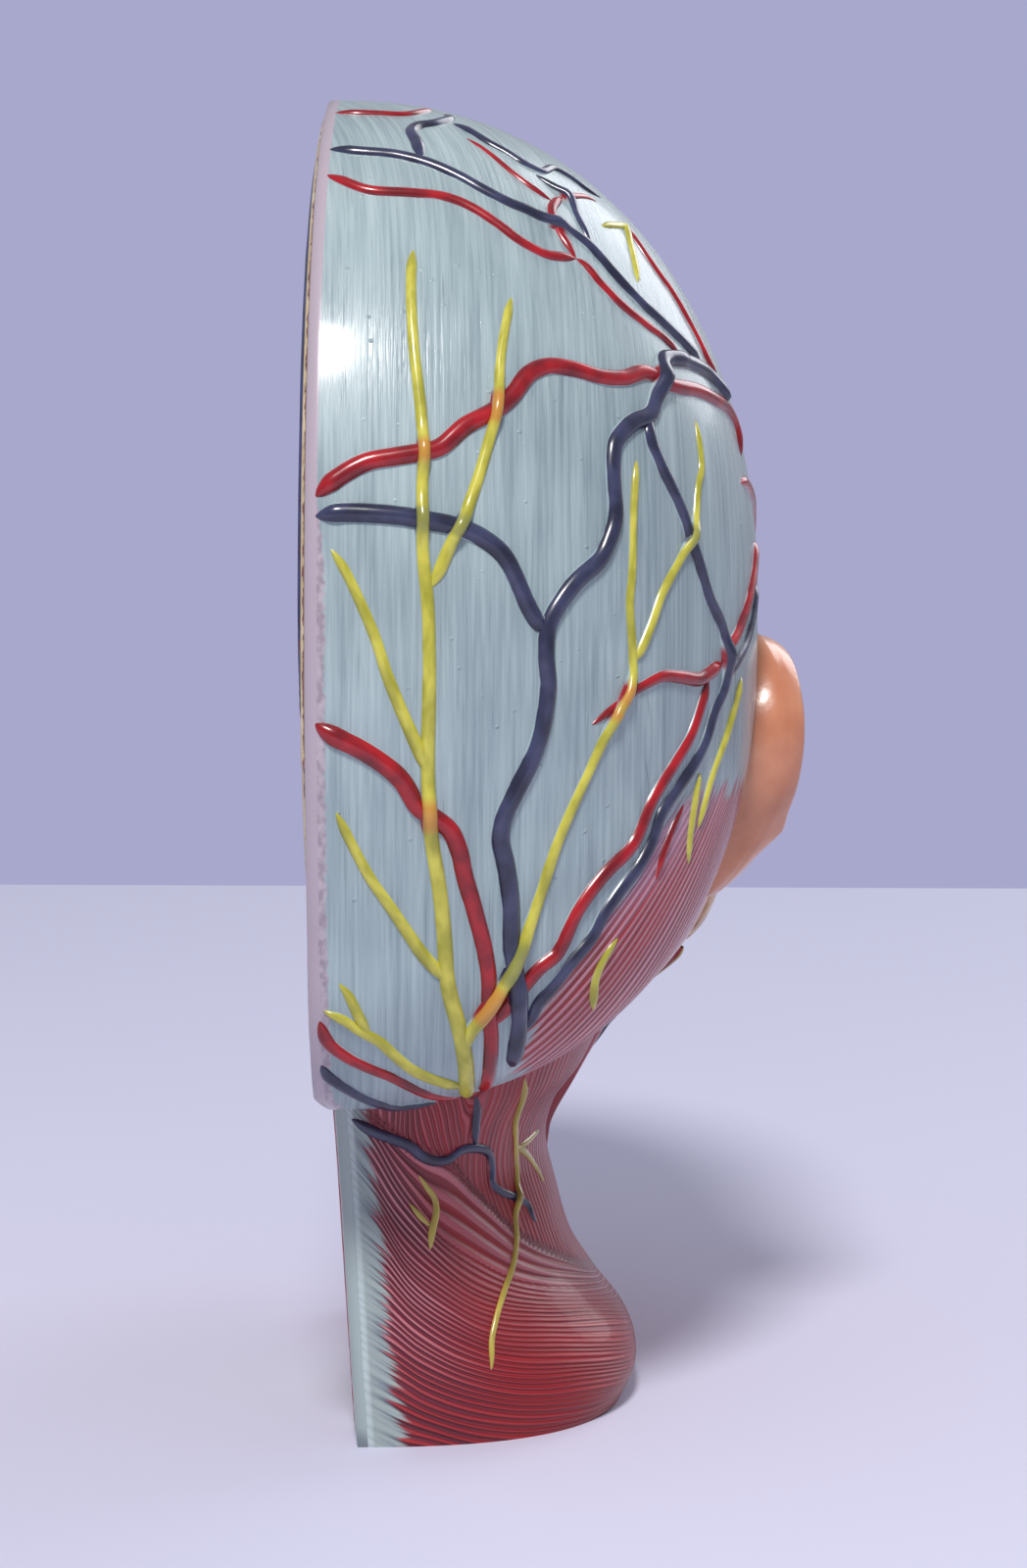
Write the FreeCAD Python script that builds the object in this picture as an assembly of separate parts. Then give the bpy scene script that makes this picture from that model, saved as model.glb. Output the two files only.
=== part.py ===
import FreeCAD
import Part
import math
import os

V = FreeCAD.Vector

# Half head anatomy model: the right half of a life-size head and neck with its skin taken off.
# +Z is up, +Y is toward the face and +X is away from the cut face. Millimetres and degrees.

# Driving dimensions
HALF_BREADTH = 74.0        # middle plane to the widest place above the ear
PLATE = 1.8                # thickness of the median plate
STEP_BACK = 1.8            # set-back of the neck's cut face just under the scalp's edge
NECK_LEAN = 4.2            # further set-back of the neck's cut face down at the base
SCALP_EDGE = 64.0          # height of the scalp's lower edge at the back
EDGE_RAMP = 10.0           # height over which the cut face steps back
VESSEL_R = 1.5             # the thickest arteries and veins
NERVE_R = 1.2              # a nerve at its trunk
TIP_R = 0.4                # a vessel or nerve at its tip
VESSEL_SIDES = 6           # flats round a vessel or nerve
CROSSING = 0.35            # how much higher arteries lie than veins, and nerves than arteries
EYE_R = 12.0               # eyeball
LID = 1.4                  # thickness of the lids over the eyeball
LID_GAP = 9.0              # height of the opening between the lids
EAR_HEIGHT = 48.0          # top to lobe
EAR_RISE = 5.5             # rim of the ear above its root plane
RELIEF = 1.2               # height of the brain and the other organs on the plate
LOW_RELIEF = 0.7           # height of bone and cartilage on the plate
GROOVE = 0.7               # depth of the furrows in the brain

# The head's own centre, from which its form is measured round the X axis
CENTRE = V(0, -15, 140)

# Middle outline of the head without nose and lips, as (y, z): brow, crown, nape edge, chin, mouth
OUTLINE = [
    (95, 140), (93.5, 152), (89, 168), (80, 186), (64, 203), (42, 217), (15, 226), (-12, 228.5),
    (-40, 225), (-63, 213), (-81, 193), (-92, 167), (-95.5, 140), (-94, 112), (-90.5, 92), (-86, 76),
    (-80, 66.5), (-71, 60.5), (-56, 60), (-30, 58), (5, 52), (36, 43), (60, 36), (78, 34.5),
    (89, 40), (93, 51), (91, 64), (95, 80), (92, 97), (89, 112), (90, 126),
]

# How square the section is from the middle outline to the side: (angle from the face upward, exponent)
FULLNESS = [
    (0, 2.5), (45, 2.4), (90, 2.2), (135, 2.15), (180, 2.1), (205, 2.1), (222, 2.25), (238, 2.5),
    (255, 2.45), (270, 2.4), (287, 2.45), (300, 2.35), (311, 2.3), (335, 2.4),
]

# Mounds and hollows on that form: place (x, y, z), reach (x, y, z), height
MOUNDS = [
    ((0, 98, 126), (7, 40, 11), 5),        # bridge of the nose
    ((0, 95, 115), (8, 40, 9), 8),         # ridge of the nose
    ((0, 95, 106), (9, 40, 8), 18),        # tip of the nose
    ((12, 86, 101), (6, 30, 7), 8),        # wing of the nose
    ((30, 80, 157), (20, 40, 8), 3.5),     # brow
    ((31, 75, 139), (17, 40, 12), -12),    # eye socket
    ((50, 60, 118), (15, 30, 12), 4),      # cheekbone
    ((0, 90, 82), (24, 40, 14), 4),        # arch of the teeth
    ((0, 93, 80), (19, 40, 8), 3),         # lips
    ((0, 95, 51), (16, 40, 9), 4),         # chin
    ((50, 58, 92), (15, 30, 15), -1.5),    # hollow of the cheek
    ((56, 24, 86), (17, 26, 20), 3.5),     # chewing muscle
    ((66, 44, 146), (26, 22, 20), -2),     # temple
]

# Mounds push away from the upright line through the centre, a little up or down from a level
LIFT_LEVEL = 125.0
LIFT_SLOPE = 0.35

# Neck sections: height, back, widest place, front, half width, exponent behind and in front
NECK = [
    (0, -58, -14, 44, 50, 2.6, 2.1),
    (6, -58, -14, 44, 52.5, 2.6, 2.1),
    (12, -58, -14, 44, 51, 2.5, 2.1),
    (18, -57.5, -12, 44.5, 46, 2.4, 2.1),
    (25, -57, -8, 45, 41, 2.3, 2.1),
    (34, -56, -4, 46, 38, 2.2, 2.1),
    (43, -55.5, 0, 48, 36, 2.1, 2.1),
    (51, -55.5, 0, 50, 38, 2.1, 2.1),
    (58, -56, 0, 52, 43, 2.1, 2.1),
    (70, -57, 2, 56, 48, 2.1, 2.1),
    (84, -57, 4, 60, 49, 2.1, 2.1),
]

# Vessels and nerves on the head: radius at the start and end, then (angle round, angle out to the side)
ARTERIES = [
    (1.0, 0.9, [(165, -3), (161, 6), (159, 14), (154, 22), (148, 26), (144, 36), (138, 49), (127, 59), (116, 66)]),
    (1.0, 0.9, [(190, -3), (193, 6), (199, 13), (207, 18), (221, 21), (234, 20)]),
    (0.9, 0.7, [(226, 21), (219, 29), (207, 46), (201, 54), (192, 58)]),
    (0.7, 0.6, [(193, 36), (189, 46), (191, 58), (183, 68), (159, 76)]),
    (0.7, 0.6, [(124, -3), (126, 12), (129, 25), (127, 33), (130, 43), (128, 53)]),
]
VEINS = [
    (0.8, 1.0, [(120, 62), (129, 51), (141, 45), (153, 40), (167, 37), (180, 29.5), (188, 29), (197, 26.5),
                (206, 23.5), (218, 24.5), (227, 24)]),
    (0.9, 0.8, [(146, 43), (153, 46), (168, 55), (181, 61), (195, 63), (205, 57), (218, 37), (228, 26)]),
    (1.0, 1.0, [(167, -3), (167, 10), (168, 18), (173, 25), (183, 29)]),
    (0.8, 0.8, [(119, -3), (119, 8), (123, 24), (123, 35), (126, 46), (122, 60)]),
]
NERVES = [
    (1.0, 0.3, [(232, 18), (218, 16), (195, 14), (171, 13), (154, 13), (135, 11)]),
    (0.8, 0.3, [(178, 14), (167, 18), (152, 22), (138, 24)]),
    (0.9, 0.3, [(198, 14), (188, 10), (171, 2)]),
    (0.9, 0.3, [(221, 16), (209, 8), (200, 2)]),
    (0.9, 0.3, [(226, 18), (206, 31), (193, 39), (176, 42), (155, 42)]),
    (0.8, 0.3, [(188, 41), (175, 47), (158, 54), (140, 54)]),
]

FAR = 400.0                # beyond every side of the model
LOFT_DEGREE = 3
SINK = 8.0                 # how far cutting and filling bodies pass a face


def between(rows, at, column=1):
    """A smooth value between the rows of a table, whose first column rises."""
    k = min(max(sum(1 for row in rows if row[0] <= at) - 1, 0), len(rows) - 2)
    x0, x1, x2, x3 = [rows[min(max(i, 0), len(rows) - 1)][0] for i in range(k - 1, k + 3)]
    y0, y1, y2, y3 = [rows[min(max(i, 0), len(rows) - 1)][column] for i in range(k - 1, k + 3)]
    slope1 = (y2 - y0) / (x2 - x0)
    slope2 = (y3 - y1) / (x3 - x1)
    step = x2 - x1
    s = (at - x1) / step
    rise = y1 * (1 + 2 * s) * (1 - s) ** 2 + y2 * s * s * (3 - 2 * s)
    return rise + step * (slope1 * s * (1 - s) ** 2 + slope2 * s * s * (s - 1))


def round_table(rows):
    """The same rows with one turn added before and after."""
    return [(a + turn, b) for turn in (-360, 0, 360) for a, b in rows]


def polar(point):
    y = point[0] - CENTRE.y
    z = point[1] - CENTRE.z
    return math.degrees(math.atan2(z, y)) % 360, math.hypot(y, z)


REACH = round_table(sorted(polar(point) for point in OUTLINE))
SQUARENESS = round_table(FULLNESS)


def oval(angle, exponent):
    """A point of a superellipse with half axes of one."""
    c = math.cos(math.radians(angle))
    s = math.sin(math.radians(angle))
    size = (abs(c) ** exponent + abs(s) ** exponent) ** (-1 / exponent)
    return size * c, size * s


def skin(u, t):
    """The head's surface: u turns from the face over the crown, t goes out to the side."""
    across, out = oval(t, between(SQUARENESS, u))
    reach = between(REACH, u) * across
    x = HALF_BREADTH * out
    y = CENTRE.y + reach * math.cos(math.radians(u))
    z = CENTRE.z + reach * math.sin(math.radians(u))
    lift = 0.0
    for (mx, my, mz), (rx, ry, rz), height in MOUNDS:
        far = ((x - mx) / rx) ** 2 + ((y - my) / ry) ** 2 + ((z - mz) / rz) ** 2
        lift += height * math.exp(-far)
    way = V(x, y - CENTRE.y, LIFT_SLOPE * (z - LIFT_LEVEL))
    way.normalize()
    return V(x, y, z) + way * lift


def even(count):
    return [i / count for i in range(count + 1)]


def closed_curve(points, shares):
    """A smooth ring, whose points lie at the given shares of the way round."""
    curve = Part.BSplineCurve()
    curve.interpolate(Points=points, PeriodicFlag=True, Parameters=shares)
    return Part.Wire([curve.toShape()])


def open_curve(points):
    curve = Part.BSplineCurve()
    curve.interpolate(Points=points)
    return curve.toShape()


def loft(rings):
    """A smooth closed body through the rings."""
    return Part.makeLoft(rings, True, False, False, LOFT_DEGREE)


def steps(first, last, size):
    count = max(1, round((last - first) / size))
    return [first + (last - first) * i / count for i in range(count + 1)]


def head():
    """The head without its neck, lofted from just over the middle out to a small flat above the ear."""
    turns = steps(-90, -60, 8)[:-1] + steps(-60, 44, 4)[:-1] + steps(44, 206, 9)[:-1] + steps(206, 270, 6)[:-1]
    shares = [(u + 90) / 360 for u in turns] + [1.0]
    sides = [-6, -2] + steps(2, 22, 4) + steps(22, 52, 6)[1:] + steps(52, 87, 11)[1:]
    rings = []
    for t in sides:
        points = [skin(u, t) for u in turns]
        if t in (sides[0], sides[-1]):
            points = [V(points[0].x, p.y, p.z) for p in points]
        rings.append(closed_curve(points, shares))
    return loft(rings)


def neck_point(angle, z):
    back, widest, front, width, behind, ahead = [between(NECK, z, i) for i in range(1, 7)]
    if angle < 90:
        along, out = oval(angle, behind)
        return V(width * out, widest - (widest - back) * along, z)
    along, out = oval(angle, ahead)
    return V(width * out, widest - (front - widest) * along, z)


def neck():
    """The neck from its flat base up into the head."""
    rings = []
    for row in NECK:
        points = [neck_point(angle, row[0]) for angle in steps(-10, 190, 20)]
        side = Part.BSplineCurve()
        side.interpolate(Points=points, Parameters=even(len(points) - 1))
        rings.append(Part.Wire([side.toShape(), Part.makeLine(points[-1], points[0])]))
    return loft(rings)


def cut_line(offset):
    """The median cut seen from behind, moved sideways: it steps back and leans under the scalp."""
    return [
        V(offset + STEP_BACK + NECK_LEAN, 0, 0),
        V(offset + STEP_BACK, 0, SCALP_EDGE),
        V(offset, 0, SCALP_EDGE + EDGE_RAMP),
        V(offset, 0, FAR),
    ]


def slab(near, far):
    """A layer along the median cut between two distances from it."""
    points = cut_line(near) + cut_line(far)[::-1]
    points = [V(p.x, -FAR, p.z) for p in points]
    face = Part.Face(Part.makePolygon(points + points[:1]))
    return face.extrude(V(0, 2 * FAR, 0))


def tube(points, start, end):
    """A vessel with flattened sides along a smooth route, its radius changing evenly to its end."""
    path = open_curve(points)
    count = 2 * len(points)
    rings = []
    for i in range(count + 1):
        share = i / count
        radius = start + (end - start) * share
        at = path.FirstParameter + (path.LastParameter - path.FirstParameter) * share
        place = path.valueAt(at)
        turn = FreeCAD.Rotation(place - CENTRE, V(), path.tangentAt(at), "ZXY")
        corners = [360 * (k + 0.5) / VESSEL_SIDES for k in range(VESSEL_SIDES + 1)]
        ring = [V(radius * math.cos(math.radians(a)), radius * math.sin(math.radians(a)), 0) for a in corners]
        rings.append(Part.makePolygon([place + turn.multVec(p) for p in ring]))
    return loft(rings)


def vessels():
    """Veins, arteries and nerves, half sunk in the head's surface."""
    tubes = []
    kinds = ((VESSEL_R, 0.0, VEINS), (VESSEL_R, CROSSING, ARTERIES), (NERVE_R, 2 * CROSSING, NERVES))
    for radius, rise, routes in kinds:
        for start, end, route in routes:
            points = [skin(u, t) for u, t in route]
            points = [p + (p - CENTRE).normalize() * rise for p in points]
            tubes.append(tube(points, start * radius, max(end * radius, TIP_R)))
    return tubes


# Eye
EYE = V(31, 69, 139)       # centre of the eyeball
EYE_WIDTH = 24.0           # corner to corner of the opening between the lids
EYE_CORNER = 0.6           # how far forward the corners of the opening are, in eyeball radii


def eyeball():
    return Part.makeSphere(EYE_R, EYE)


def lids():
    """A dome over the eyeball."""
    return Part.makeSphere(EYE_R + LID, EYE)


def lid_opening():
    """An almond between two arcs, cut from the corners of the eye outward."""
    middle = EYE + V(0, EYE_CORNER * EYE_R, 0)
    left = middle - V(EYE_WIDTH / 2, 0, 0)
    right = middle + V(EYE_WIDTH / 2, 0, 0)
    upper = Part.Arc(left, middle + V(0, 0, LID_GAP / 2), right).toShape()
    lower = Part.Arc(right, middle - V(0, 0, LID_GAP / 2), left).toShape()
    return Part.Face(Part.Wire([upper, lower])).extrude(V(0, 2 * EYE_R, 0))


# Ear, drawn in its own plane as (y, z) from the ear canal for an ear one high
EAR_CANAL = V(0, 0, 108)
EAR_OUTLINE = [
    (0.10, 0.20), (0.10, 0.38), (0.00, 0.50), (-0.20, 0.53), (-0.40, 0.44), (-0.52, 0.24),
    (-0.50, 0.00), (-0.38, -0.20), (-0.26, -0.36), (-0.10, -0.46), (0.04, -0.42), (0.08, -0.26), (0.06, -0.04),
]
EAR_TILT = 14.0            # how far the back of the ear stands out
EAR_SINK = 2.0             # how far the root plane lies inside the widest place
EAR_LIFT = 0.03            # how far the outline lies above the canal, in ear heights
# Sizes of the ear's outline and how far out each lies, in ear rises: the form and its bowl
EAR_FORM = [(0.84, 0.3), (1.0, 0.65), (0.94, 1.0)]
EAR_BOWL = [(0.66, 1.1), (0.5, 0.65), (0.25, 0.45)]


def ear_ring(size, out):
    """One outline of the ear, at a distance out from the side of the head."""
    scale = EAR_HEIGHT * size
    points = [V(out, y * scale, z * scale + EAR_LIFT * EAR_HEIGHT) for y, z in EAR_OUTLINE]
    return closed_curve(points, even(len(points)))


def ear_form():
    """The ear before its back is cut to the head: a rim on a narrower root, with a bowl in front."""
    root = ear_ring(EAR_FORM[0][0], -SINK)
    form = loft([root] + [ear_ring(size, out * EAR_RISE) for size, out in EAR_FORM])
    form = form.cut(loft([ear_ring(size, out * EAR_RISE) for size, out in EAR_BOWL]))
    form.rotate(V(0, 0, 0), V(0, 0, 1), EAR_TILT)
    form.translate(EAR_CANAL + V(HALF_BREADTH - EAR_SINK, 0, 0))
    return form


# Organs of the median section as (y, z)
BRAIN = [
    (74, 164), (68, 182), (53, 197), (30, 210), (0, 216), (-30, 213), (-54, 202), (-72, 183),
    (-82, 160), (-84, 140), (-77, 131), (-60, 136), (-42, 141), (-24, 146), (-8, 150), (6, 146),
    (16, 138), (30, 140), (46, 147), (66, 150),
]
CEREBELLUM = [
    (-22, 138), (-40, 136), (-60, 130), (-74, 122), (-72, 108), (-58, 97), (-40, 94), (-26, 102),
    (-20, 114), (-24, 126),
]
# Bands: width at the start and the end, then the line
CALLOSUM = (7, 7, [(30, 158), (38, 168), (24, 177), (2, 181), (-20, 177), (-33, 166), (-28, 158)])
STEM = [
    (4, 148), (11, 136), (16, 124), (12, 112), (4, 102), (-3, 90), (-17, 90), (-16, 104), (-15, 118),
    (-17, 132), (-15, 144), (-6, 151),
]
CORD = (9, 8, [(-9, 96), (-13, 80), (-17, 62), (-20, 42), (-21, 20), (-21, -4)])
SINUS = (5, 5, [
    (57, 199), (38, 213), (13, 221), (-12, 223.5), (-38, 220), (-60, 208.5), (-77, 190), (-87, 165), (-90, 140),
    (-85, 127),
])
FURROW = 2.0               # width of a furrow
FURROWS = [
    [(60, 162), (52, 182), (30, 195), (2, 200), (-22, 194), (-36, 184)],
    [(-52, 202), (-50, 184), (-56, 166)],
    [(-82, 150), (-68, 154), (-52, 156), (-40, 152)],
    [(-16, 216), (-14, 206)],
    [(20, 214), (22, 204), (14, 198)],
    [(66, 188), (56, 192)],
]
TONGUE = [
    (80, 78), (74, 88), (58, 90), (40, 85), (28, 73), (25, 60), (34, 52), (50, 51), (66, 58), (76, 68),
]
JAW = [(87, 68), (90, 58), (88, 46), (81, 41), (76, 47), (77, 58), (81, 68)]
PALATE = (4, 5, [(86, 94), (72, 95.5), (57, 95.5), (43, 93.5), (30, 88), (20, 79)])
SHELVES = [
    (6, 4, [(78, 104), (60, 103), (40, 104), (30, 106)]),
    (6, 4, [(76, 116), (60, 114), (42, 115), (32, 118)]),
    (6, 4, [(68, 128), (54, 126), (42, 128)]),
]
EPIGLOTTIS = (5, 2, [(30, 46), (25, 56), (22, 66)])
WINDPIPE = (14, 14, [(29, 40), (28, 22), (28, -4)])
VERTEBRA = (17.0, 12.0)    # depth and height of one vertebral body
DISC = 3.5                 # gap that a disc fills
VERTEBRAE = 5
SPINE_TOP = V(0, -1, 66)   # middle of the topmost vertebral body under the dens
SPINE_LEAN = 0.06          # how far each body stands back per millimetre down
# How far behind the body the process lies, how far lower, its depth and its height, in body sizes
PROCESS = (2.1, 0.25, 0.9, 0.6)
TOOTH = (5.0, 9.0)         # depth and height of a tooth
TEETH = [(90, 87), (88, 76)]


def flat(points):
    return [V(-FAR / 8, y, z) for y, z in points]


def through(face):
    return face.extrude(V(FAR / 4, 0, 0))


def patch(points):
    """A closed smooth outline through the whole plate."""
    return through(Part.Face(closed_curve(flat(points), even(len(points)))))


def ribbon(width, end_width, points):
    """A band along a smooth line, through the whole plate, its width changing evenly to its end."""
    line = open_curve(flat(points))
    left = []
    right = []
    count = 3 * len(points)
    for i in range(count + 1):
        share = i / count
        at = line.FirstParameter + (line.LastParameter - line.FirstParameter) * share
        along = line.tangentAt(at)
        side = V(0, -along.z, along.y) * (0.5 * (width + (end_width - width) * share))
        left.append(line.valueAt(at) + side)
        right.append(line.valueAt(at) - side)
    edges = [
        open_curve(left),
        Part.makeLine(left[-1], right[-1]),
        open_curve(right[::-1]),
        Part.makeLine(right[0], left[0]),
    ]
    return through(Part.Face(Part.Wire(edges)))


def block(y, z, depth, height):
    corner = V(-FAR / 8, y - depth / 2, z - height / 2)
    return Part.makeBox(FAR / 4, depth, height, corner)


def spine():
    """Vertebral bodies with their processes behind the canal."""
    depth, height = VERTEBRA
    pieces = []
    for i in range(VERTEBRAE):
        z = SPINE_TOP.z - i * (height + DISC)
        y = SPINE_TOP.y - SPINE_LEAN * (SPINE_TOP.z - z)
        pieces.append(block(y, z, depth, height))
        behind, lower, long, tall = PROCESS
        pieces.append(block(y - depth * behind, z - height * lower, depth * long, height * tall))
    return pieces


def raised(pieces, near, far):
    """Organ outlines joined into one and cut to a layer on the plate."""
    above = Part.makeBox(FAR, FAR, FAR, V(-FAR / 2, -FAR / 2, 0))
    layer = slab(near, far).common(above)
    return pieces[0].multiFuse(pieces[1:]).common(layer)


def median_plate(form):
    """The section moulding: a plate with organs raised on it to three heights."""
    plate = form.common(slab(-PLATE, 0))
    bones = [patch(JAW)] + [ribbon(*band) for band in (PALATE, WINDPIPE, EPIGLOTTIS)]
    bones += spine()
    bones += [block(y, z, *TOOTH) for y, z in TEETH]
    organs = [patch(CEREBELLUM), patch(TONGUE), patch(STEM)]
    organs += [ribbon(*band) for band in [CORD, CALLOSUM, SINUS] + SHELVES]
    brain = patch(BRAIN)
    for line in FURROWS:
        brain = brain.cut(ribbon(FURROW, FURROW, line))
    sink = -PLATE / 2
    brain_floor = patch(BRAIN).common(slab(-PLATE - RELIEF + GROOVE, sink))
    return plate.multiFuse([
        raised(bones, -PLATE - LOW_RELIEF, sink),
        raised(organs, -PLATE - RELIEF, sink),
        raised([brain, brain_floor], -PLATE - RELIEF, sink),
    ])


def lateral_shell(form):
    """The head and neck moulding with its vessels, the lids, the eye's socket and its opening."""
    body = form.fuse(lids())
    for vessel in vessels():
        body = body.fuse(vessel)
    return body.common(slab(0, FAR)).cut(eyeball()).cut(lid_opening())


def main():
    os.makedirs("parts", exist_ok=True)
    form = head().fuse(neck())
    shell = lateral_shell(form)
    parts = {
        "lateral_shell": shell,
        "median_plate": median_plate(form),
        "ear": ear_form().cut(shell),
        "eyeball": eyeball(),
    }
    base_depth = NECK[0][3] - NECK[0][1]
    middle = V(-(STEP_BACK + NECK_LEAN + NECK[0][4]) / 2, -(NECK[0][1] + base_depth / 2), 0)
    for name, shape in parts.items():
        shape = shape.copy()
        shape.translate(middle)
        print(name, shape.isValid(), len(shape.Solids), round(shape.Volume), len(shape.Faces))
        shape.exportStep(f"parts/{name}.step")


main()
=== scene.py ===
import math

import bpy
import numpy as np
from mathutils import Matrix, Vector


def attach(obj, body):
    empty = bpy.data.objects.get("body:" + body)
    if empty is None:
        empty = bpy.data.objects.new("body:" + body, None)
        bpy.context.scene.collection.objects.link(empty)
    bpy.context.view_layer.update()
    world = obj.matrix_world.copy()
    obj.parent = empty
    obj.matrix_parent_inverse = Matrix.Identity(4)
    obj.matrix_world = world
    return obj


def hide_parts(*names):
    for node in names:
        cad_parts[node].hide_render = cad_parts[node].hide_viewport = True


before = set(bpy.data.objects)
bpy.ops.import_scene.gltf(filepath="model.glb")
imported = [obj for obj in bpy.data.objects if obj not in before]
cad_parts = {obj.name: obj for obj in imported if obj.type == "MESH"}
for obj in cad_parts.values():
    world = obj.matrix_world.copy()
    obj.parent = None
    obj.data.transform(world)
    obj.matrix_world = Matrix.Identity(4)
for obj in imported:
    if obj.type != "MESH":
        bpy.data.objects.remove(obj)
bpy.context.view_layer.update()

# Half head anatomy model: the right half of a head and neck, seen from behind.
# The forms are worked out in millimetres with x = 0 on the median cut, y = 0 at the ear canal
# and z = 0 on the base, and are moved by OFFSET into the frame's own origin.
OFFSET = np.array((-28.0, 7.0, 0.0))
MILLI = 0.001

HALF_BREADTH = 73.0        # middle plane to the widest place above the ear
PLATE = 1.8                # thickness of the median plate
STEP_BACK = 1.8            # set-back of the neck's cut face under the scalp's edge
NECK_LEAN = 4.2            # further set-back of the neck's cut face at the base
SCALP_EDGE = 64.0          # height of the scalp's lower edge at the back
RAMP_FROM = 60.5           # heights between which the cut face steps back
RAMP_TO = 63.2
LIFT_LEVEL = 125.0         # height at which mounds rise straight out
LIFT_SLOPE = 0.35          # how much mounds tip up above that height and down below it
HALVINGS = 18              # steps of a search by halves
CENTRE = np.array((0.0, -15.0, 140.0))    # the head's centre

# The head's outline from the side as (y, z)
OUTLINE = [
    (95, 140), (93.5, 152), (89, 168), (80, 186), (64, 203), (42, 217), (15, 226), (-12, 228.5), (-40, 225),
    (-63, 213), (-81, 193), (-92, 167), (-95.5, 140), (-94, 112), (-90.5, 92), (-86, 76), (-80, 66.5),
    (-71, 60.5), (-56, 60), (-30, 58), (5, 52), (36, 43), (60, 36), (78, 34.5), (89, 40), (93, 51),
    (91, 64), (95, 80), (92, 97), (89, 112), (90, 126),
]
# How square the rings round the head's centre are, by angle from the face over the crown
FULLNESS = [
    (0, 2.5), (45, 2.4), (90, 2.2), (135, 2.15), (180, 2.1), (205, 2.1), (222, 2.2), (238, 2.36),
    (255, 2.28), (270, 2.3), (287, 2.4), (300, 2.35), (311, 2.3), (335, 2.4),
]
# Mounds and hollows on the head: place, reach and height
MOUNDS = [
    ((0, 98, 126), (7, 40, 11), 5),
    ((0, 95, 115), (8, 40, 9), 8),
    ((0, 95, 106), (9, 40, 8), 18),
    ((12, 86, 101), (6, 30, 7), 8),
    ((30, 80, 157), (20, 40, 8), 3.5),
    ((31, 75, 139), (17, 40, 12), -12),
    ((50, 60, 118), (15, 30, 12), 4),
    ((0, 90, 82), (24, 40, 14), 4),
    ((0, 93, 80), (19, 40, 8), 3),
    ((0, 95, 51), (16, 40, 9), 4),
    ((50, 58, 92), (15, 30, 15), -1.5),
    ((56, 24, 86), (17, 26, 20), 3.5),
    ((66, 44, 146), (26, 22, 20), -2),
]
# Finer forms of the face: crease of the wing, groove under the nose, lips with the mouth between,
# groove over the chin, nostril
FINE_MOUNDS = [
    ((18, 86, 104), (3, 30, 7), -1.6),
    ((0, 98, 91), (3, 40, 5), -1.2),
    ((0, 93, 85), (17, 40, 3.2), 1.8),
    ((0, 93, 75), (15, 40, 3.4), 2.2),
    ((0, 93, 80), (22, 40, 1.3), -2.6),
    ((0, 92, 66), (16, 40, 4), -1.6),
    ((6.5, 106, 99.5), (2.6, 14, 2.6), -4.5),
]
# Rings of the neck: height, back, widest place, front, half breadth, squareness behind and ahead
NECK = [
    (0, -58, -14, 44, 50, 2.6, 2.1),
    (6, -58, -14, 44, 52.5, 2.6, 2.1),
    (12, -58, -14, 44, 51, 2.5, 2.1),
    (18, -57.5, -12, 44.5, 46, 2.4, 2.1),
    (25, -57, -8, 45, 41, 2.3, 2.1),
    (34, -56, -4, 46, 38, 2.2, 2.1),
    (43, -55.5, 0, 48, 36, 2.1, 2.1),
    (51, -55.5, 0, 50, 38, 2.1, 2.1),
    (58, -56, 0, 52, 43, 2.1, 2.1),
    (70, -57, 2, 56, 48, 2.1, 2.1),
    (84, -57, 4, 60, 49, 2.1, 2.1),
]
NECK_TOP = 84.0
NECK_MIDDLE = np.array((0.0, -8.0, 30.0))


def between(rows, at, column=1):
    """Smooth values between the rows of a table, whose first column rises."""
    rows = np.asarray(rows, float)
    x = rows[:, 0]
    y = rows[:, column]
    after = np.minimum(np.arange(len(x)) + 1, len(x) - 1)
    before = np.maximum(np.arange(len(x)) - 1, 0)
    slope = (y[after] - y[before]) / (x[after] - x[before])
    at = np.asarray(at, float)
    k = np.clip(np.searchsorted(x, at, "right") - 1, 0, len(x) - 2)
    step = x[k + 1] - x[k]
    s = (at - x[k]) / step
    rise = y[k] * (1 + 2 * s) * (1 - s) ** 2 + y[k + 1] * s * s * (3 - 2 * s)
    return rise + step * (slope[k] * s * (1 - s) ** 2 + slope[k + 1] * s * s * (s - 1))


def round_table(rows):
    """The same rows with one turn added before and after."""
    return [(a + turn, b) for turn in (-360, 0, 360) for a, b in rows]


def polar(point):
    """Angle and distance of a point (y, z) round the head's centre."""
    y = point[0] - CENTRE[1]
    z = point[1] - CENTRE[2]
    return math.degrees(math.atan2(z, y)) % 360, math.hypot(y, z)


REACH = round_table(sorted(polar(point) for point in OUTLINE))
SQUARENESS = round_table(FULLNESS)


def unit(vectors):
    """The vectors at a length of one."""
    return vectors / np.linalg.norm(vectors, axis=-1, keepdims=True)


def oval(angle, exponent):
    """A point of a superellipse with half axes of one."""
    c = np.cos(np.radians(angle))
    s = np.sin(np.radians(angle))
    size = (np.abs(c) ** exponent + np.abs(s) ** exponent) ** (-1 / exponent)
    return size * c, size * s


def skin(u, t):
    """The head's surface: u turns from the face over the crown, t goes out to the side."""
    across, out = oval(t, between(SQUARENESS, u))
    reach = between(REACH, u) * across
    x = HALF_BREADTH * out
    y = CENTRE[1] + reach * np.cos(np.radians(u))
    z = CENTRE[2] + reach * np.sin(np.radians(u))
    lift = 0.0
    for (mx, my, mz), (rx, ry, rz), height in MOUNDS + FINE_MOUNDS:
        lift = lift + height * np.exp(-(((x - mx) / rx) ** 2 + ((y - my) / ry) ** 2 + ((z - mz) / rz) ** 2))
    way = unit(np.stack([x, y - CENTRE[1], LIFT_SLOPE * (z - LIFT_LEVEL)], -1))
    return np.stack([x, y, z], -1) + way * lift[..., None]


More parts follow.
